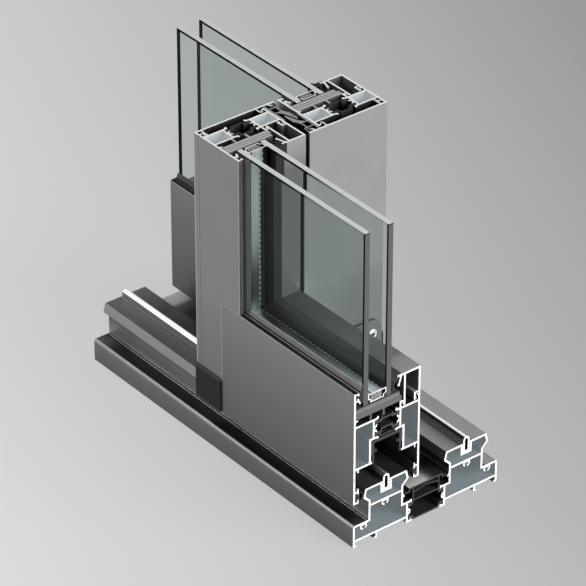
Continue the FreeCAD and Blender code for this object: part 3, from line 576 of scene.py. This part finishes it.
for sash in SASHES:
    sash_pieces = tree_of(frame["record"]["behaviour"]["bodies"][sash + "_sash"])
    for side, top_coat, edge_coat in (("outer", shaded_rim_coat, shaded_stile_edge_coat),
                                      ("inner", ledge_coat, coat_along_z)):
        dress("%s_rail_%s_shell" % (sash, side), coat_along_x, cut_metal,
              chamber=rail_chamber, cavity=cavity_shade_coat, around=sash_pieces,
              accents=((looks_out, rail_skin_coats[sash]), (level_at(rail_high.z), top_coat)))
        dress("%s_stile_%s_shell" % (sash, side), coat_along_z, cut_metal,
              chamber=stile_chamber, cavity=cavity_shade_coat, around=sash_pieces, run="z",
              accents=((looks_out, stile_skin_coat), (is_stile_edge, edge_coat)))
    # The rail chambers below the gasket recess get the painted cavity shade instead.
    for face in frame["nodes"][sash + "_rail_inner_shell"].data.polygons:
        if face.material_index == CHAMBER_SLOT and face.center.z < GASKET_RECESS_TOP:
            face.material_index = CAVITY_SLOT
    dress(sash + "_interlock_cover", coat_along_z, cut_metal, cavity=cavity_shade_coat,
          around=sash_pieces, run="z",
          accents=((looks_along_sill, lit_cover_coat), (looks_out, stile_skin_coat)))
    dress(sash + "_glazing_beads", bead_coat, cut_metal, cavity=bead_hollow_shade,
          around=sash_pieces, run="z", accents=((looks_up, ledge_coat),))


# Insulating bars. Black polyamide strips join the outer and the inner shell of each profile
# and keep the cold out. Their feet slide endwise into knurled pockets, which are rolled shut.
for sash in SASHES:
    dress(sash + "_rail_insulators", black_polyamide, cut_polyamide)
    dress(sash + "_stile_insulators", black_polyamide, cut_polyamide)


# Roller channel. An extruded liner of dark grey plastic, clipped into the recess under the
# rail. The roller carriages stand inside it.
liner_plastic = polyamide("liner_plastic", (0.020, 0.020, 0.021), (0.030, 0.030, 0.031), 0.5)
liner_cut = polyamide("liner_cut", (0.033, 0.033, 0.034), (0.047, 0.047, 0.048), 0.6)
for sash in SASHES:
    dress(sash + "_roller_channel", liner_plastic, liner_cut)


# Interlock hooks. Extruded plastic hooks on both meeting stiles catch each other when the door
# is closed and carry the seal between them.
hook_plastic = polyamide("hook_plastic", (0.003, 0.003, 0.003), (0.006, 0.006, 0.006), 0.7, 0.1)
hook_cut = polyamide("hook_cut", (0.30, 0.30, 0.30), (0.40, 0.40, 0.40), 0.6)
for sash in SASHES:
    dress(sash + "_interlock_hook", hook_plastic, hook_cut)


# Gaskets. Soft black rubber seals, pressed into grooves: one each side of the glass and two
# under the rail that wipe the track head. Their tops and the side against the pane are painted
# lighter as light, their ribs and lips carry painted highlights and shade, and the rear rail's
# gasket is a shaded copy of the front one's.
RAIL_GASKET_TOP = 132 * MM
RIB_SPAN = 10
OUTER_FACE = rail_low.y
SASH_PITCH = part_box("rear_rail_outer_shell")[0].y - OUTER_FACE


def rubber(name, dark, light):
    """Dull rubber with a faint bloom."""
    material, tree, shader = new_material(name)
    shader.inputs["Roughness"].default_value = 0.55
    shader.inputs["Specular IOR Level"].default_value = 0.35
    bloom = place_noise(tree, 220.0, detail=4.0)
    vary_colour(tree, shader, bloom, dark, light)
    return material


def depth_in_sash(tree):
    """How far a point lies behind the outer face of the sash, the same in both sashes."""
    behind = work_out(tree, "SUBTRACT", place_on_object(tree)["Y"], OUTER_FACE)
    return work_out(tree, "MODULO", behind, SASH_PITCH)


def ribbed_rubber(name, tones):
    """Rubber whose ribs and lip differ in tone, as painted highlights and shade. The tones are pairs
    of a depth from the outer face of the sash, in millimetres, and a grey."""
    material, tree, shader = new_material(name)
    shader.inputs["Roughness"].default_value = 0.5
    shader.inputs["Specular IOR Level"].default_value = 0.35
    ramp = tree.nodes.new("ShaderNodeValToRGB")
    stops = ramp.color_ramp.elements
    for i, (depth, tone) in enumerate(tones):
        stop = stops[i] if i < 2 else stops.new(depth / RIB_SPAN)
        stop.position = depth / RIB_SPAN
        stop.color = even_grey(tone)
    along_ramp = work_out(tree, "DIVIDE", depth_in_sash(tree), RIB_SPAN * MM)
    tree.links.new(along_ramp, ramp.inputs["Fac"])
    tree.links.new(ramp.outputs["Color"], shader.inputs["Base Color"])
    return material


def is_pane_side(face):
    """Picks the side of the rail's inner gasket that lies against the pane."""
    return face.center.z < RAIL_GASKET_TOP and face.normal.y * face.center.y > 0.0


def is_gasket_top(face):
    """Picks what looks up on a gasket, which gets painted light."""
    return face.normal.z > 0.7


def is_upright_side(face):
    """Picks the sides of a gasket's run along the stile."""
    return abs(face.normal.z) < 0.1


def is_level_side(face):
    """Picks the sides of a gasket's run along the rail."""
    return abs(face.normal.x) < 0.1


black_rubber = rubber("black_rubber", (0.012, 0.012, 0.012), (0.020, 0.020, 0.020))
lit_rubber_on_tops = rubber("lit_rubber_on_tops", (0.042, 0.042, 0.042), (0.056, 0.056, 0.056))
lit_pane_side_rubber = rubber("lit_pane_side_rubber", (0.165, 0.165, 0.165), (0.195, 0.195, 0.195))
cut_rubber = rubber("cut_rubber", (0.020, 0.020, 0.020), (0.030, 0.030, 0.030))
gasket_on_stile = ribbed_rubber("ribbed_rubber_on_stile", [
    (1.5, 0.14), (8.0, 0.02), (2.7, 0.13), (2.9, 0.02), (4.1, 0.02), (4.3, 0.05), (4.7, 0.05),
    (4.9, 0.02), (5.3, 0.02), (5.5, 0.24), (6.9, 0.14), (7.2, 0.02)])
lit_gasket_on_front_rail = ribbed_rubber("ribbed_rubber_on_front_rail", [
    (1.0, 0.005), (8.0, 0.36), (3.55, 0.005), (3.65, 0.85), (3.90, 0.85), (4.00, 0.005),
    (5.40, 0.005), (5.50, 0.27), (6.2, 0.28), (7.0, 0.32)])
shaded_gasket_on_rear_rail = ribbed_rubber("ribbed_rubber_on_rear_rail", [
    (1.0, 0.04), (8.0, 0.14), (3.55, 0.04), (3.65, 0.12), (3.90, 0.12), (4.00, 0.04),
    (5.40, 0.005), (5.50, 0.10), (6.2, 0.11), (7.0, 0.12)])
for sash, gasket_on_rail in (("front", lit_gasket_on_front_rail), ("rear", shaded_gasket_on_rear_rail)):
    dress(sash + "_inner_gasket", black_rubber, cut_rubber,
          accents=((is_pane_side, lit_pane_side_rubber), (is_gasket_top, lit_rubber_on_tops)))
    dress(sash + "_sill_gaskets", black_rubber, cut_rubber)
    dress(sash + "_outer_gasket", black_rubber, cut_rubber,
          accents=((is_upright_side, gasket_on_stile), (is_level_side, gasket_on_rail)))


# Glazing packers. Ribbed bridges moulded in grey plastic, which stand in the rebate of each
# profile and carry the weight of the glass. Fine dark and light joints cross their sawn faces.
# Their sawn tops are painted far paler than their sawn ends, as light.
JOINT_HALF_WIDTH = 0.22 * MM
packer_plastic = polyamide("packer_plastic", (0.060, 0.060, 0.060), (0.080, 0.080, 0.080), 0.6)
packer_end = polyamide("packer_end", (0.10, 0.10, 0.10), (0.13, 0.13, 0.13), 0.6)
lit_packer_top = polyamide("lit_packer_top", (0.46, 0.46, 0.46), (0.53, 0.53, 0.53), 0.6)
joints_on_top = [("X", 8.9 * MM, JOINT_HALF_WIDTH, 0.03), ("X", 6.3 * MM, JOINT_HALF_WIDTH, 0.03)]
joints_on_end = [("Z", rail_high.z - 16.0 * MM, 0.2 * MM, 0.25),
                 ("Z", rail_high.z - 14.6 * MM, 1.2 * MM, 0.15)]
for cut, lines in ((lit_packer_top, joints_on_top), (packer_end, joints_on_end)):
    draw_lines(cut.node_tree, cut.node_tree.nodes["Principled BSDF"], lines)
for sash in SASHES:
    dress(sash + "_glazing_packers", packer_plastic, packer_end, lit_packer_top)


# Glass. Each sash holds two 4 mm panes of float glass with a slight grey-green tint, bonded
# into one unit along the spacer. Their edges are ground.
EDGE_SHADE = 0.85 * MM
TOP_SHADE = 0.95 * MM
CORNER_LINE = 0.5 * MM
FADE_START = 60 * MM
FADE_END = 110 * MM
GLASS_IOR = 1.52
MIRROR_SHARE = 0.12


def mix_shaders(tree, factor, first, second):
    """The first shader where the factor is 0, and the second where it is 1."""
    node = tree.nodes.new("ShaderNodeMixShader")
    set_or_link(tree, node.inputs["Fac"], factor)
    tree.links.new(first, node.inputs[1])
    tree.links.new(second, node.inputs[2])
    return node.outputs["Shader"]


def float_glass(name, fade, tint):
    """Clear tinted glass. Its ground edges show as dark lines of painted shade laid just inside
    the two faces; fade is how much of the line under the top edge is left at the sawn end."""
    material, tree, shader = new_material(name)
    shader.inputs["Base Color"].default_value = (0.74, 0.80, 0.785, 1.0)
    shader.inputs["Roughness"].default_value = 0.0
    shader.inputs["IOR"].default_value = GLASS_IOR
    shader.inputs["Transmission Weight"].default_value = 1.0
    bend = tree.nodes.new("ShaderNodeBsdfRefraction")
    bend.inputs["Color"].default_value = (*tint, 1.0)
    bend.inputs["Roughness"].default_value = 0.0
    bend.inputs["IOR"].default_value = GLASS_IOR
    clear = tree.nodes.new("ShaderNodeBsdfTransparent")
    clear.inputs["Color"].default_value = (0.86, 0.89, 0.88, 1.0)
    edge = tree.nodes.new("ShaderNodeBsdfDiffuse")
    edge.inputs["Color"].default_value = (0.010, 0.015, 0.014, 1.0)

    in_shadow = tree.nodes.new("ShaderNodeLightPath").outputs["Is Shadow Ray"]
    coated = mix_shaders(tree, MIRROR_SHARE, bend.outputs["BSDF"], shader.outputs["BSDF"])
    lit = mix_shaders(tree, in_shadow, coated, clear.outputs["BSDF"])

    place = place_on_object(tree, either_side=True)
    end_line = work_out(tree, "COMPARE", place["X"], HALF_LENGTH - EDGE_SHADE, EDGE_SHADE)
    top_line = work_out(tree, "COMPARE", place["Z"], CUT_TOP - TOP_SHADE, TOP_SHADE)
    left_over = map_range(tree, place["X"], FADE_START, FADE_END, 1.0, fade)
    faded = work_out(tree, "MULTIPLY", top_line, left_over)
    shade = work_out(tree, "MAXIMUM", end_line, faded)
    seen = mix_shaders(tree, shade, lit, edge.outputs["BSDF"])
    tree.links.new(seen, tree.nodes["Material Output"].inputs["Surface"])
    return material


def ground_edge(name, dark, light):
    """Ground glass with the fine grain of the stone."""
    material, tree, shader = new_material(name)
    shader.inputs["Roughness"].default_value = 0.4
    grind = place_noise(tree, 1800.0)
    vary_colour(tree, shader, grind, dark, light)
    return material


# The sawn ends of the panes are painted dark as shade and the sawn tops pale as light: one ground glass
# in a shaded and a lit copy.
glass_end = ground_edge("ground_glass_end", (0.082, 0.084, 0.084), (0.098, 0.100, 0.100))
glass_top = ground_edge("ground_glass_top", (0.72, 0.74, 0.74), (0.82, 0.84, 0.84))
draw_lines(glass_end.node_tree, glass_end.node_tree.nodes["Principled BSDF"],
           [("Z", CUT_TOP - CORNER_LINE, CORNER_LINE, 0.01)])
for sash, fade, tint in (("front", 0.1, (0.844, 0.875, 0.868)), ("rear", 1.0, (0.864, 0.893, 0.882))):
    pane_glass = float_glass(sash + "_float_glass", fade, tint)
    dress(sash + "_glass_panes", pane_glass, glass_end, glass_top)


# Spacer. A thin-walled aluminium bar, bent round the corner and filled with drying beads, keeps
# the two panes apart. Sealant behind it bonds it to the glass all round.
SPACER_EDGE = 24.2 * MM
SPACER_NEAR = 14.8 * MM
DASH_PITCH = 4.3 * MM
DASH_LENGTH = 0.53 * DASH_PITCH


def spacer_metal(name, grades, far):
    """Brushed metal with a row of punched slots near its inner edge, through which the beads
    dry the air between the panes. Far is the grey beyond that row. The grades paint light and
    shade along the run, and the dark line along its near edge is painted shade."""
    material, tree, shader = new_material(name)
    shader.inputs["Metallic"].default_value = 0.75
    shader.inputs["Roughness"].default_value = 0.3
    lines = place_noise(tree, 1.0, (6.0, 2200.0, 6.0), 3.0)
    vary_colour(tree, shader, spread_value(tree, lines, 0.0, 1.0), (0.26, 0.33, 0.35), (0.92, 0.98, 1.0))
    for axis, stops in grades:
        grade(tree, shader, axis, stops)
    place = place_on_object(tree)
    run = work_out(tree, "ADD", place["X"], place["Z"])
    dash = work_out(tree, "LESS_THAN", work_out(tree, "FLOORED_MODULO", run, DASH_PITCH), DASH_LENGTH)
    depth = depth_in_sash(tree)
    colour = base_colour(shader)
    for middle, half_width, tone, only_dashes in (
            (SPACER_EDGE, 0.55 * MM, 0.75, False),
            (SPACER_EDGE, 0.38 * MM, 0.01, True),
            (SPACER_EDGE + 4.6 * MM, 4.0 * MM, far, False),
            (SPACER_EDGE + 1.2 * MM, 0.7 * MM, 0.02, False),
            (SPACER_NEAR, 0.6 * MM, 0.02, False)):
        on_line = work_out(tree, "COMPARE", depth, middle, half_width)
        if only_dashes:
            on_line = work_out(tree, "MULTIPLY", on_line, dash)
        colour = mix_colours(tree, on_line, colour, even_grey(tone))
    tree.links.new(colour, shader.inputs["Base Color"])
    return material


def is_spacer_on_rail(face):
    """Picks the run of the spacer that looks up at the glass above the rail."""
    return face.normal.z > 0.5


# The grades of both runs are painted light and shade.
spacer_stile = spacer_metal("brushed_spacer_on_stile", (
    ("Z", ((125, 0.5), (131, 0.33), (137, 0.19), (152, 0.23), (160, 0.39), (176, 0.78),
           (200, 0.97), (250, 1.0))),), 0.04)
spacer_rail = spacer_metal("brushed_spacer_on_rail", (
    ("|X|", ((28, 0.4), (40, 0.14), (70, 0.12), (104, 0.20), (130, 0.45), (150, 1.0))),), 0.10)
sealant = rubber("edge_sealant", (0.014, 0.014, 0.014), (0.020, 0.020, 0.020))
for sash in SASHES:
    dress(sash + "_spacer_bar", spacer_stile, cut_metal, accents=((is_spacer_on_rail, spacer_rail),))
    dress(sash + "_edge_sealant", sealant)


# Drying beads. The spacer is filled with small round beads of molecular sieve, which show
# where it is sawn: at the end of the rail and at the top of the stile.
BEAD_RADIUS = 0.62 * MM
BEAD_PITCH = BEAD_RADIUS * 1.9
BEAD_ROWS_IN = 3
SPACER_WALL = 0.75 * MM
SPACER_STEP = 2.0 * MM
SIGHT_DROP = 4.9 * MM
SPACER_FOOT_DROP = 11.9 * MM


def sieve():
    """Matt beads, each a different grey."""
    material, tree, shader = new_material("drying_beads")
    shader.inputs["Roughness"].default_value = 0.8
    tint = place_noise(tree, 900.0)
    vary_colour(tree, shader, tint, (0.10, 0.10, 0.10), (0.55, 0.55, 0.54))
    return material


def drying_beads(name, body, low, high, place):
    """Beads packed in staggered rows behind a cut, each at its own depth. Low and high are the
    depth and the place across at two corners, and place turns depth, across and inward into a
    point."""
    beads = bmesh.new()
    across_count = int((high[1] - low[1]) / BEAD_PITCH)
    deep_count = int((high[0] - low[0]) / BEAD_PITCH)
    for row in range(BEAD_ROWS_IN):
        for i in range(deep_count):
            for j in range(across_count):
                depth = low[0] + BEAD_PITCH * (i + 0.5)
                across = low[1] + BEAD_PITCH * (j + 0.5 + 0.35 * (i % 2) - 0.17)
                uneven = 0.22 * math.sin(5.1 * i + 3.7 * j + row)
                inward = BEAD_PITCH * (row * 0.9 + 0.80 + uneven)
                ball = Matrix.Translation(place(depth, across, inward))
                bmesh.ops.create_icosphere(beads, subdivisions=2, radius=BEAD_RADIUS, matrix=ball)
    for face in beads.faces:
        face.smooth = True
    mesh = bpy.data.meshes.new(name)
    beads.to_mesh(mesh)
    beads.free()
    mesh.materials.append(bead_finish)
    piece = bpy.data.objects.new(name, mesh)
    bpy.context.scene.collection.objects.link(piece)
    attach(piece, body)


bead_finish = sieve()
for sash, sign in (("front", 1.0), ("rear", -1.0)):
    low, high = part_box(sash + "_spacer_bar")
    sight = rail_high.z - SIGHT_DROP
    inside = (rail_high.z - SPACER_FOOT_DROP + SPACER_WALL, low.y + SPACER_STEP + SPACER_WALL)
    limit = (sight - SPACER_WALL, high.y - SPACER_STEP - SPACER_WALL)
    stile_sight = sign * (stile_edge - SIGHT_DROP)
    drying_beads(sash + "_rail_drying_beads", sash + "_sash", inside, limit,
                 lambda depth, across, inward: Vector((sign * (HALF_LENGTH - inward), across,
                                                       depth)))
    drying_beads(sash + "_stile_drying_beads", sash + "_sash", inside, limit,
                 lambda depth, across, inward: Vector((stile_sight - sign * (sight - depth),
                                                       across, CUT_TOP - inward)))


# End caps. A moulded black plastic cap closes the foot of each stile round the track head; its
# rounded plate is screwed to the stile. The roller carriages are moulded plastic too.
CAP_SLOPE_FOOT = 50 * MM
PLATE_STANDS_OUT = 1 * MM


def moulded_plastic(name, dark, light):
    """Dull plastic with the spark-eroded grain of its mould."""
    material, tree, shader = new_material(name)
    shader.inputs["Roughness"].default_value = 0.5
    shader.inputs["Specular IOR Level"].default_value = 0.22
    grain = place_noise(tree, 2600.0)
    vary_colour(tree, shader, grain, dark, light)
    raise_grain(tree, shader, grain, 0.01 * MM)
    return material


def is_cap_slope(face):
    """Picks the sloped top strip of the cap, which gets a painted sheen."""
    slopes = 0.2 < face.normal.z < 0.98 and abs(face.normal.x) < 0.1
    return slopes and face.center.z > CAP_SLOPE_FOOT


def is_plate(face):
    """Picks the flat outer side of the screwed plate."""
    return looks_along_sill(face) and abs(face.center.x) > stile_edge + PLATE_STANDS_OUT


cap_plastic = moulded_plastic("cap_plastic", (0.008, 0.007, 0.007), (0.012, 0.011, 0.011))
carriage_plastic = moulded_plastic("carriage_plastic", (0.03, 0.03, 0.03), (0.04, 0.04, 0.04))
# The sloped strip is the black cap plastic painted lighter, as a painted sheen.
cap_slope = moulded_plastic("cap_slope_plastic", (0.060, 0.060, 0.060), (0.078, 0.078, 0.078))
cap_plate = moulded_plastic("cap_plate_plastic", (0.15, 0.15, 0.15), (0.18, 0.18, 0.18))
for sash in SASHES:
    dress(sash + "_end_cap", cap_plastic, accents=((is_cap_slope, cap_slope), (is_plate, cap_plate)))
    dress(sash + "_roller_carriage", carriage_plastic)


# Cap screws. Two button-head screws of stainless steel, with a hexagon socket, fix the plate of
# each end cap through its eyes.
SCREW_HEAD_RADIUS = 4.0 * MM
SCREW_HEAD_HEIGHT = 1.3 * MM
SCREW_RIM = 0.25 * MM
SOCKET_RADIUS = 1.5 * MM
SOCKET_LIP = 0.3 * MM
SOCKET_FLOOR = 0.2 * MM
SCREW_SIDES = 36
SCREW_IN = 8.7 * MM
SCREW_DOWN = 11.9 * MM
PLATE_EDGE = 1.5 * MM


def screw_steel():
    """Bright turned steel."""
    material, tree, shader = new_material("screw_steel")
    shader.inputs["Metallic"].default_value = 0.5
    shader.inputs["Roughness"].default_value = 0.3
    lines = place_noise(tree, 3000.0)
    vary_colour(tree, shader, lines, (0.86, 0.86, 0.86), (0.96, 0.96, 0.96))
    return material


def dark_socket():
    """The socket, painted dark as the shade in its hollow."""
    material, tree, shader = new_material("screw_socket")
    shader.inputs["Roughness"].default_value = 0.6
    shade = place_noise(tree, 3000.0)
    vary_colour(tree, shader, shade, (0.02, 0.02, 0.02), (0.04, 0.04, 0.04))
    return material


def ring(screw, height, radius_at):
    """Points round the screw at a height; radius_at gives the radius at each angle."""
    points = []
    for k in range(SCREW_SIDES):
        angle = 2 * math.pi * k / SCREW_SIDES
        radius = radius_at(angle)
        points.append(screw.verts.new((radius * math.cos(angle), radius * math.sin(angle), height)))
    return points


def hexagon(angle):
    """The radius of the hexagonal socket at an angle."""
    from_flat = math.pi / 6 - (angle % (math.pi / 3))
    return SOCKET_RADIUS * math.cos(math.pi / 6) / math.cos(from_flat)


def cap_screw(name, body, place, outward):
    """Domed ring round a hexagonal socket, lathed in code and turned to face outward."""
    dome_in = SCREW_HEAD_RADIUS - SOCKET_RADIUS - SOCKET_LIP
    dome_up = SCREW_HEAD_HEIGHT - SCREW_RIM
    profile = [(SCREW_HEAD_RADIUS, 0.0), (SCREW_HEAD_RADIUS, SCREW_RIM)]
    for i in range(1, 7):
        angle = math.radians(15 * i)
        profile.append((SCREW_HEAD_RADIUS - dome_in * (1 - math.cos(angle)),
                        SCREW_RIM + dome_up * math.sin(angle)))
    screw = bmesh.new()
    rings = [ring(screw, height, lambda angle: radius) for radius, height in profile]
    rings += [ring(screw, height, hexagon) for height in (SCREW_HEAD_HEIGHT, SOCKET_FLOOR)]
    for lower, upper in zip(rings, rings[1:]):
        in_socket = lower is rings[-2]
        for k in range(SCREW_SIDES):
            after = (k + 1) % SCREW_SIDES
            face = screw.faces.new((lower[k], lower[after], upper[after], upper[k]))
            face.smooth = not in_socket
            face.material_index = int(in_socket)
    bottom = screw.faces.new(rings[-1])
    bottom.material_index = 1
    turn = Vector((0.0, 0.0, 1.0)).rotation_difference(outward).to_matrix().to_4x4()
    bmesh.ops.transform(screw, matrix=Matrix.Translation(place) @ turn, verts=screw.verts)
    mesh = bpy.data.meshes.new(name)
    screw.to_mesh(mesh)
    screw.free()
    mesh.materials.append(steel_of_screws)
    mesh.materials.append(socket_shade)
    piece = bpy.data.objects.new(name, mesh)
    bpy.context.scene.collection.objects.link(piece)
    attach(piece, body)


steel_of_screws = screw_steel()
socket_shade = dark_socket()
for sash, sign in (("front", -1.0), ("rear", 1.0)):
    low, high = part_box(sash + "_end_cap")
    plate_face = low.x if sign < 0 else high.x
    plate_low, plate_high = low.y, high.y
    if sash == "front":
        plate_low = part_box("front_stile_outer_shell")[0].y + PLATE_EDGE
    else:
        plate_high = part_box("rear_interlock_cover")[1].y - PLATE_EDGE
    height = high.z - SCREW_DOWN
    for i, y in enumerate((plate_low + SCREW_IN, plate_high - SCREW_IN)):
        cap_screw("%s_cap_screw_%d" % (sash, i + 1), sash + "_sash",
                  Vector((plate_face, y, height)), Vector((sign, 0.0, 0.0)))


# Floor. A sheet of pale paper under the sample, wide enough to fill every view. A painted
# gradient darkens it to the right and away from the camera.
FLOOR_REACH = 12.0
DARKENS_TOWARDS = math.radians(-66.9)
PALE_FROM = -0.30
DARK_FROM = 0.40
BOUNCE = 0.28


def pale_floor():
    """Pale paper. Part of its look is a painted glow, so that the shadow of the object stays soft;
    a weaker share of the glow, BOUNCE, lights the object as painted bounce light.
    """
    material, tree, shader = new_material("pale_floor")
    shader.inputs["Roughness"].default_value = 0.9
    shader.inputs["Specular IOR Level"].default_value = 0.1
    coordinates = tree.nodes.new("ShaderNodeTexCoord")
    turn = tree.nodes.new("ShaderNodeMapping")
    turn.inputs["Rotation"].default_value = (0.0, 0.0, DARKENS_TOWARDS)
    split = tree.nodes.new("ShaderNodeSeparateXYZ")
    tree.links.new(coordinates.outputs["Object"], turn.inputs["Vector"])
    tree.links.new(turn.outputs["Vector"], split.inputs["Vector"])
    across = map_range(tree, split.outputs["X"], PALE_FROM, DARK_FROM)
    vary_colour(tree, shader, across, (0.11, 0.11, 0.11), (0.055, 0.055, 0.055))
    glow = mix_colours(tree, across, even_grey(0.650), even_grey(0.280))
    tree.links.new(glow, shader.inputs["Emission Color"])
    path = tree.nodes.new("ShaderNodeLightPath").outputs
    seen = work_out(tree, "MAXIMUM", path["Is Camera Ray"], path["Is Glossy Ray"])
    seen = work_out(tree, "MAXIMUM", seen, path["Is Transmission Ray"])
    tree.links.new(work_out(tree, "MAXIMUM", seen, BOUNCE), shader.inputs["Emission Strength"])
    return material


floor_mesh = bpy.data.meshes.new("floor")
corners = [(-FLOOR_REACH, -FLOOR_REACH, 0.0), (FLOOR_REACH, -FLOOR_REACH, 0.0),
           (FLOOR_REACH, FLOOR_REACH, 0.0), (-FLOOR_REACH, FLOOR_REACH, 0.0)]
floor_mesh.from_pydata(corners, [], [(0, 1, 2, 3)])
floor = bpy.data.objects.new("floor", floor_mesh)
floor_mesh.materials.append(pale_floor())
bpy.context.scene.collection.objects.link(floor)


# Studio light. The room is brighter behind the camera than behind the sample, and three large
# softboxes stand round it, so that its shadow is soft.
DARK_WALL = (-0.75, 0.60, 0.28)
world = bpy.data.worlds.new("studio")
world.use_nodes = True
sky = world.node_tree
facing = sky.nodes.new("ShaderNodeVectorMath")
facing.operation = "DOT_PRODUCT"
facing.inputs[1].default_value = DARK_WALL
direction = sky.nodes.new("ShaderNodeTexCoord")
sky.links.new(direction.outputs["Generated"], facing.inputs[0])
walls = map_range(sky, facing.outputs["Value"], -0.6, 0.8, 0.34, 0.04)
sky.nodes["Background"].inputs["Color"].default_value = WHITE
sky.links.new(walls, sky.nodes["Background"].inputs["Strength"])
bpy.context.scene.world = world


def softbox(name, place, target, wide, high, watts):
    """A rectangular lamp that faces its target."""
    lamp = bpy.data.lights.new(name, "AREA")
    lamp.shape = "RECTANGLE"
    lamp.size = wide
    lamp.size_y = high
    lamp.energy = watts
    box = bpy.data.objects.new(name, lamp)
    box.location = place
    box.rotation_euler = (Vector(target) - Vector(place)).to_track_quat("-Z", "Y").to_euler()
    bpy.context.scene.collection.objects.link(box)


softbox("key", (2.1, 0.9, 1.0), (0.0, 0.0, 0.1), 1.8, 1.4, 85.0)
softbox("fill", (-0.7, -1.3, 0.9), (0.0, 0.0, 0.15), 0.9, 0.9, 7.0)
softbox("rim", (-1.3, -0.25, 1.25), (0.0, -0.1, 0.05), 1.9, 0.5, 4.5)


# Camera. It stands far off with a very long lens, as for the photo, so that the sample is drawn
# almost without perspective.
camera_data = bpy.data.cameras.new("camera")
camera_data.lens = 256.0
camera_data.sensor_width = 36.0
camera = bpy.data.objects.new("camera", camera_data)
camera.location = (1.9391, -1.5376, 1.6858)
camera.rotation_euler = (math.radians(57.461), 0.0, math.radians(51.558))
bpy.context.scene.collection.objects.link(camera)
bpy.context.scene.camera = camera
bpy.context.scene.view_settings.view_transform = "Standard"
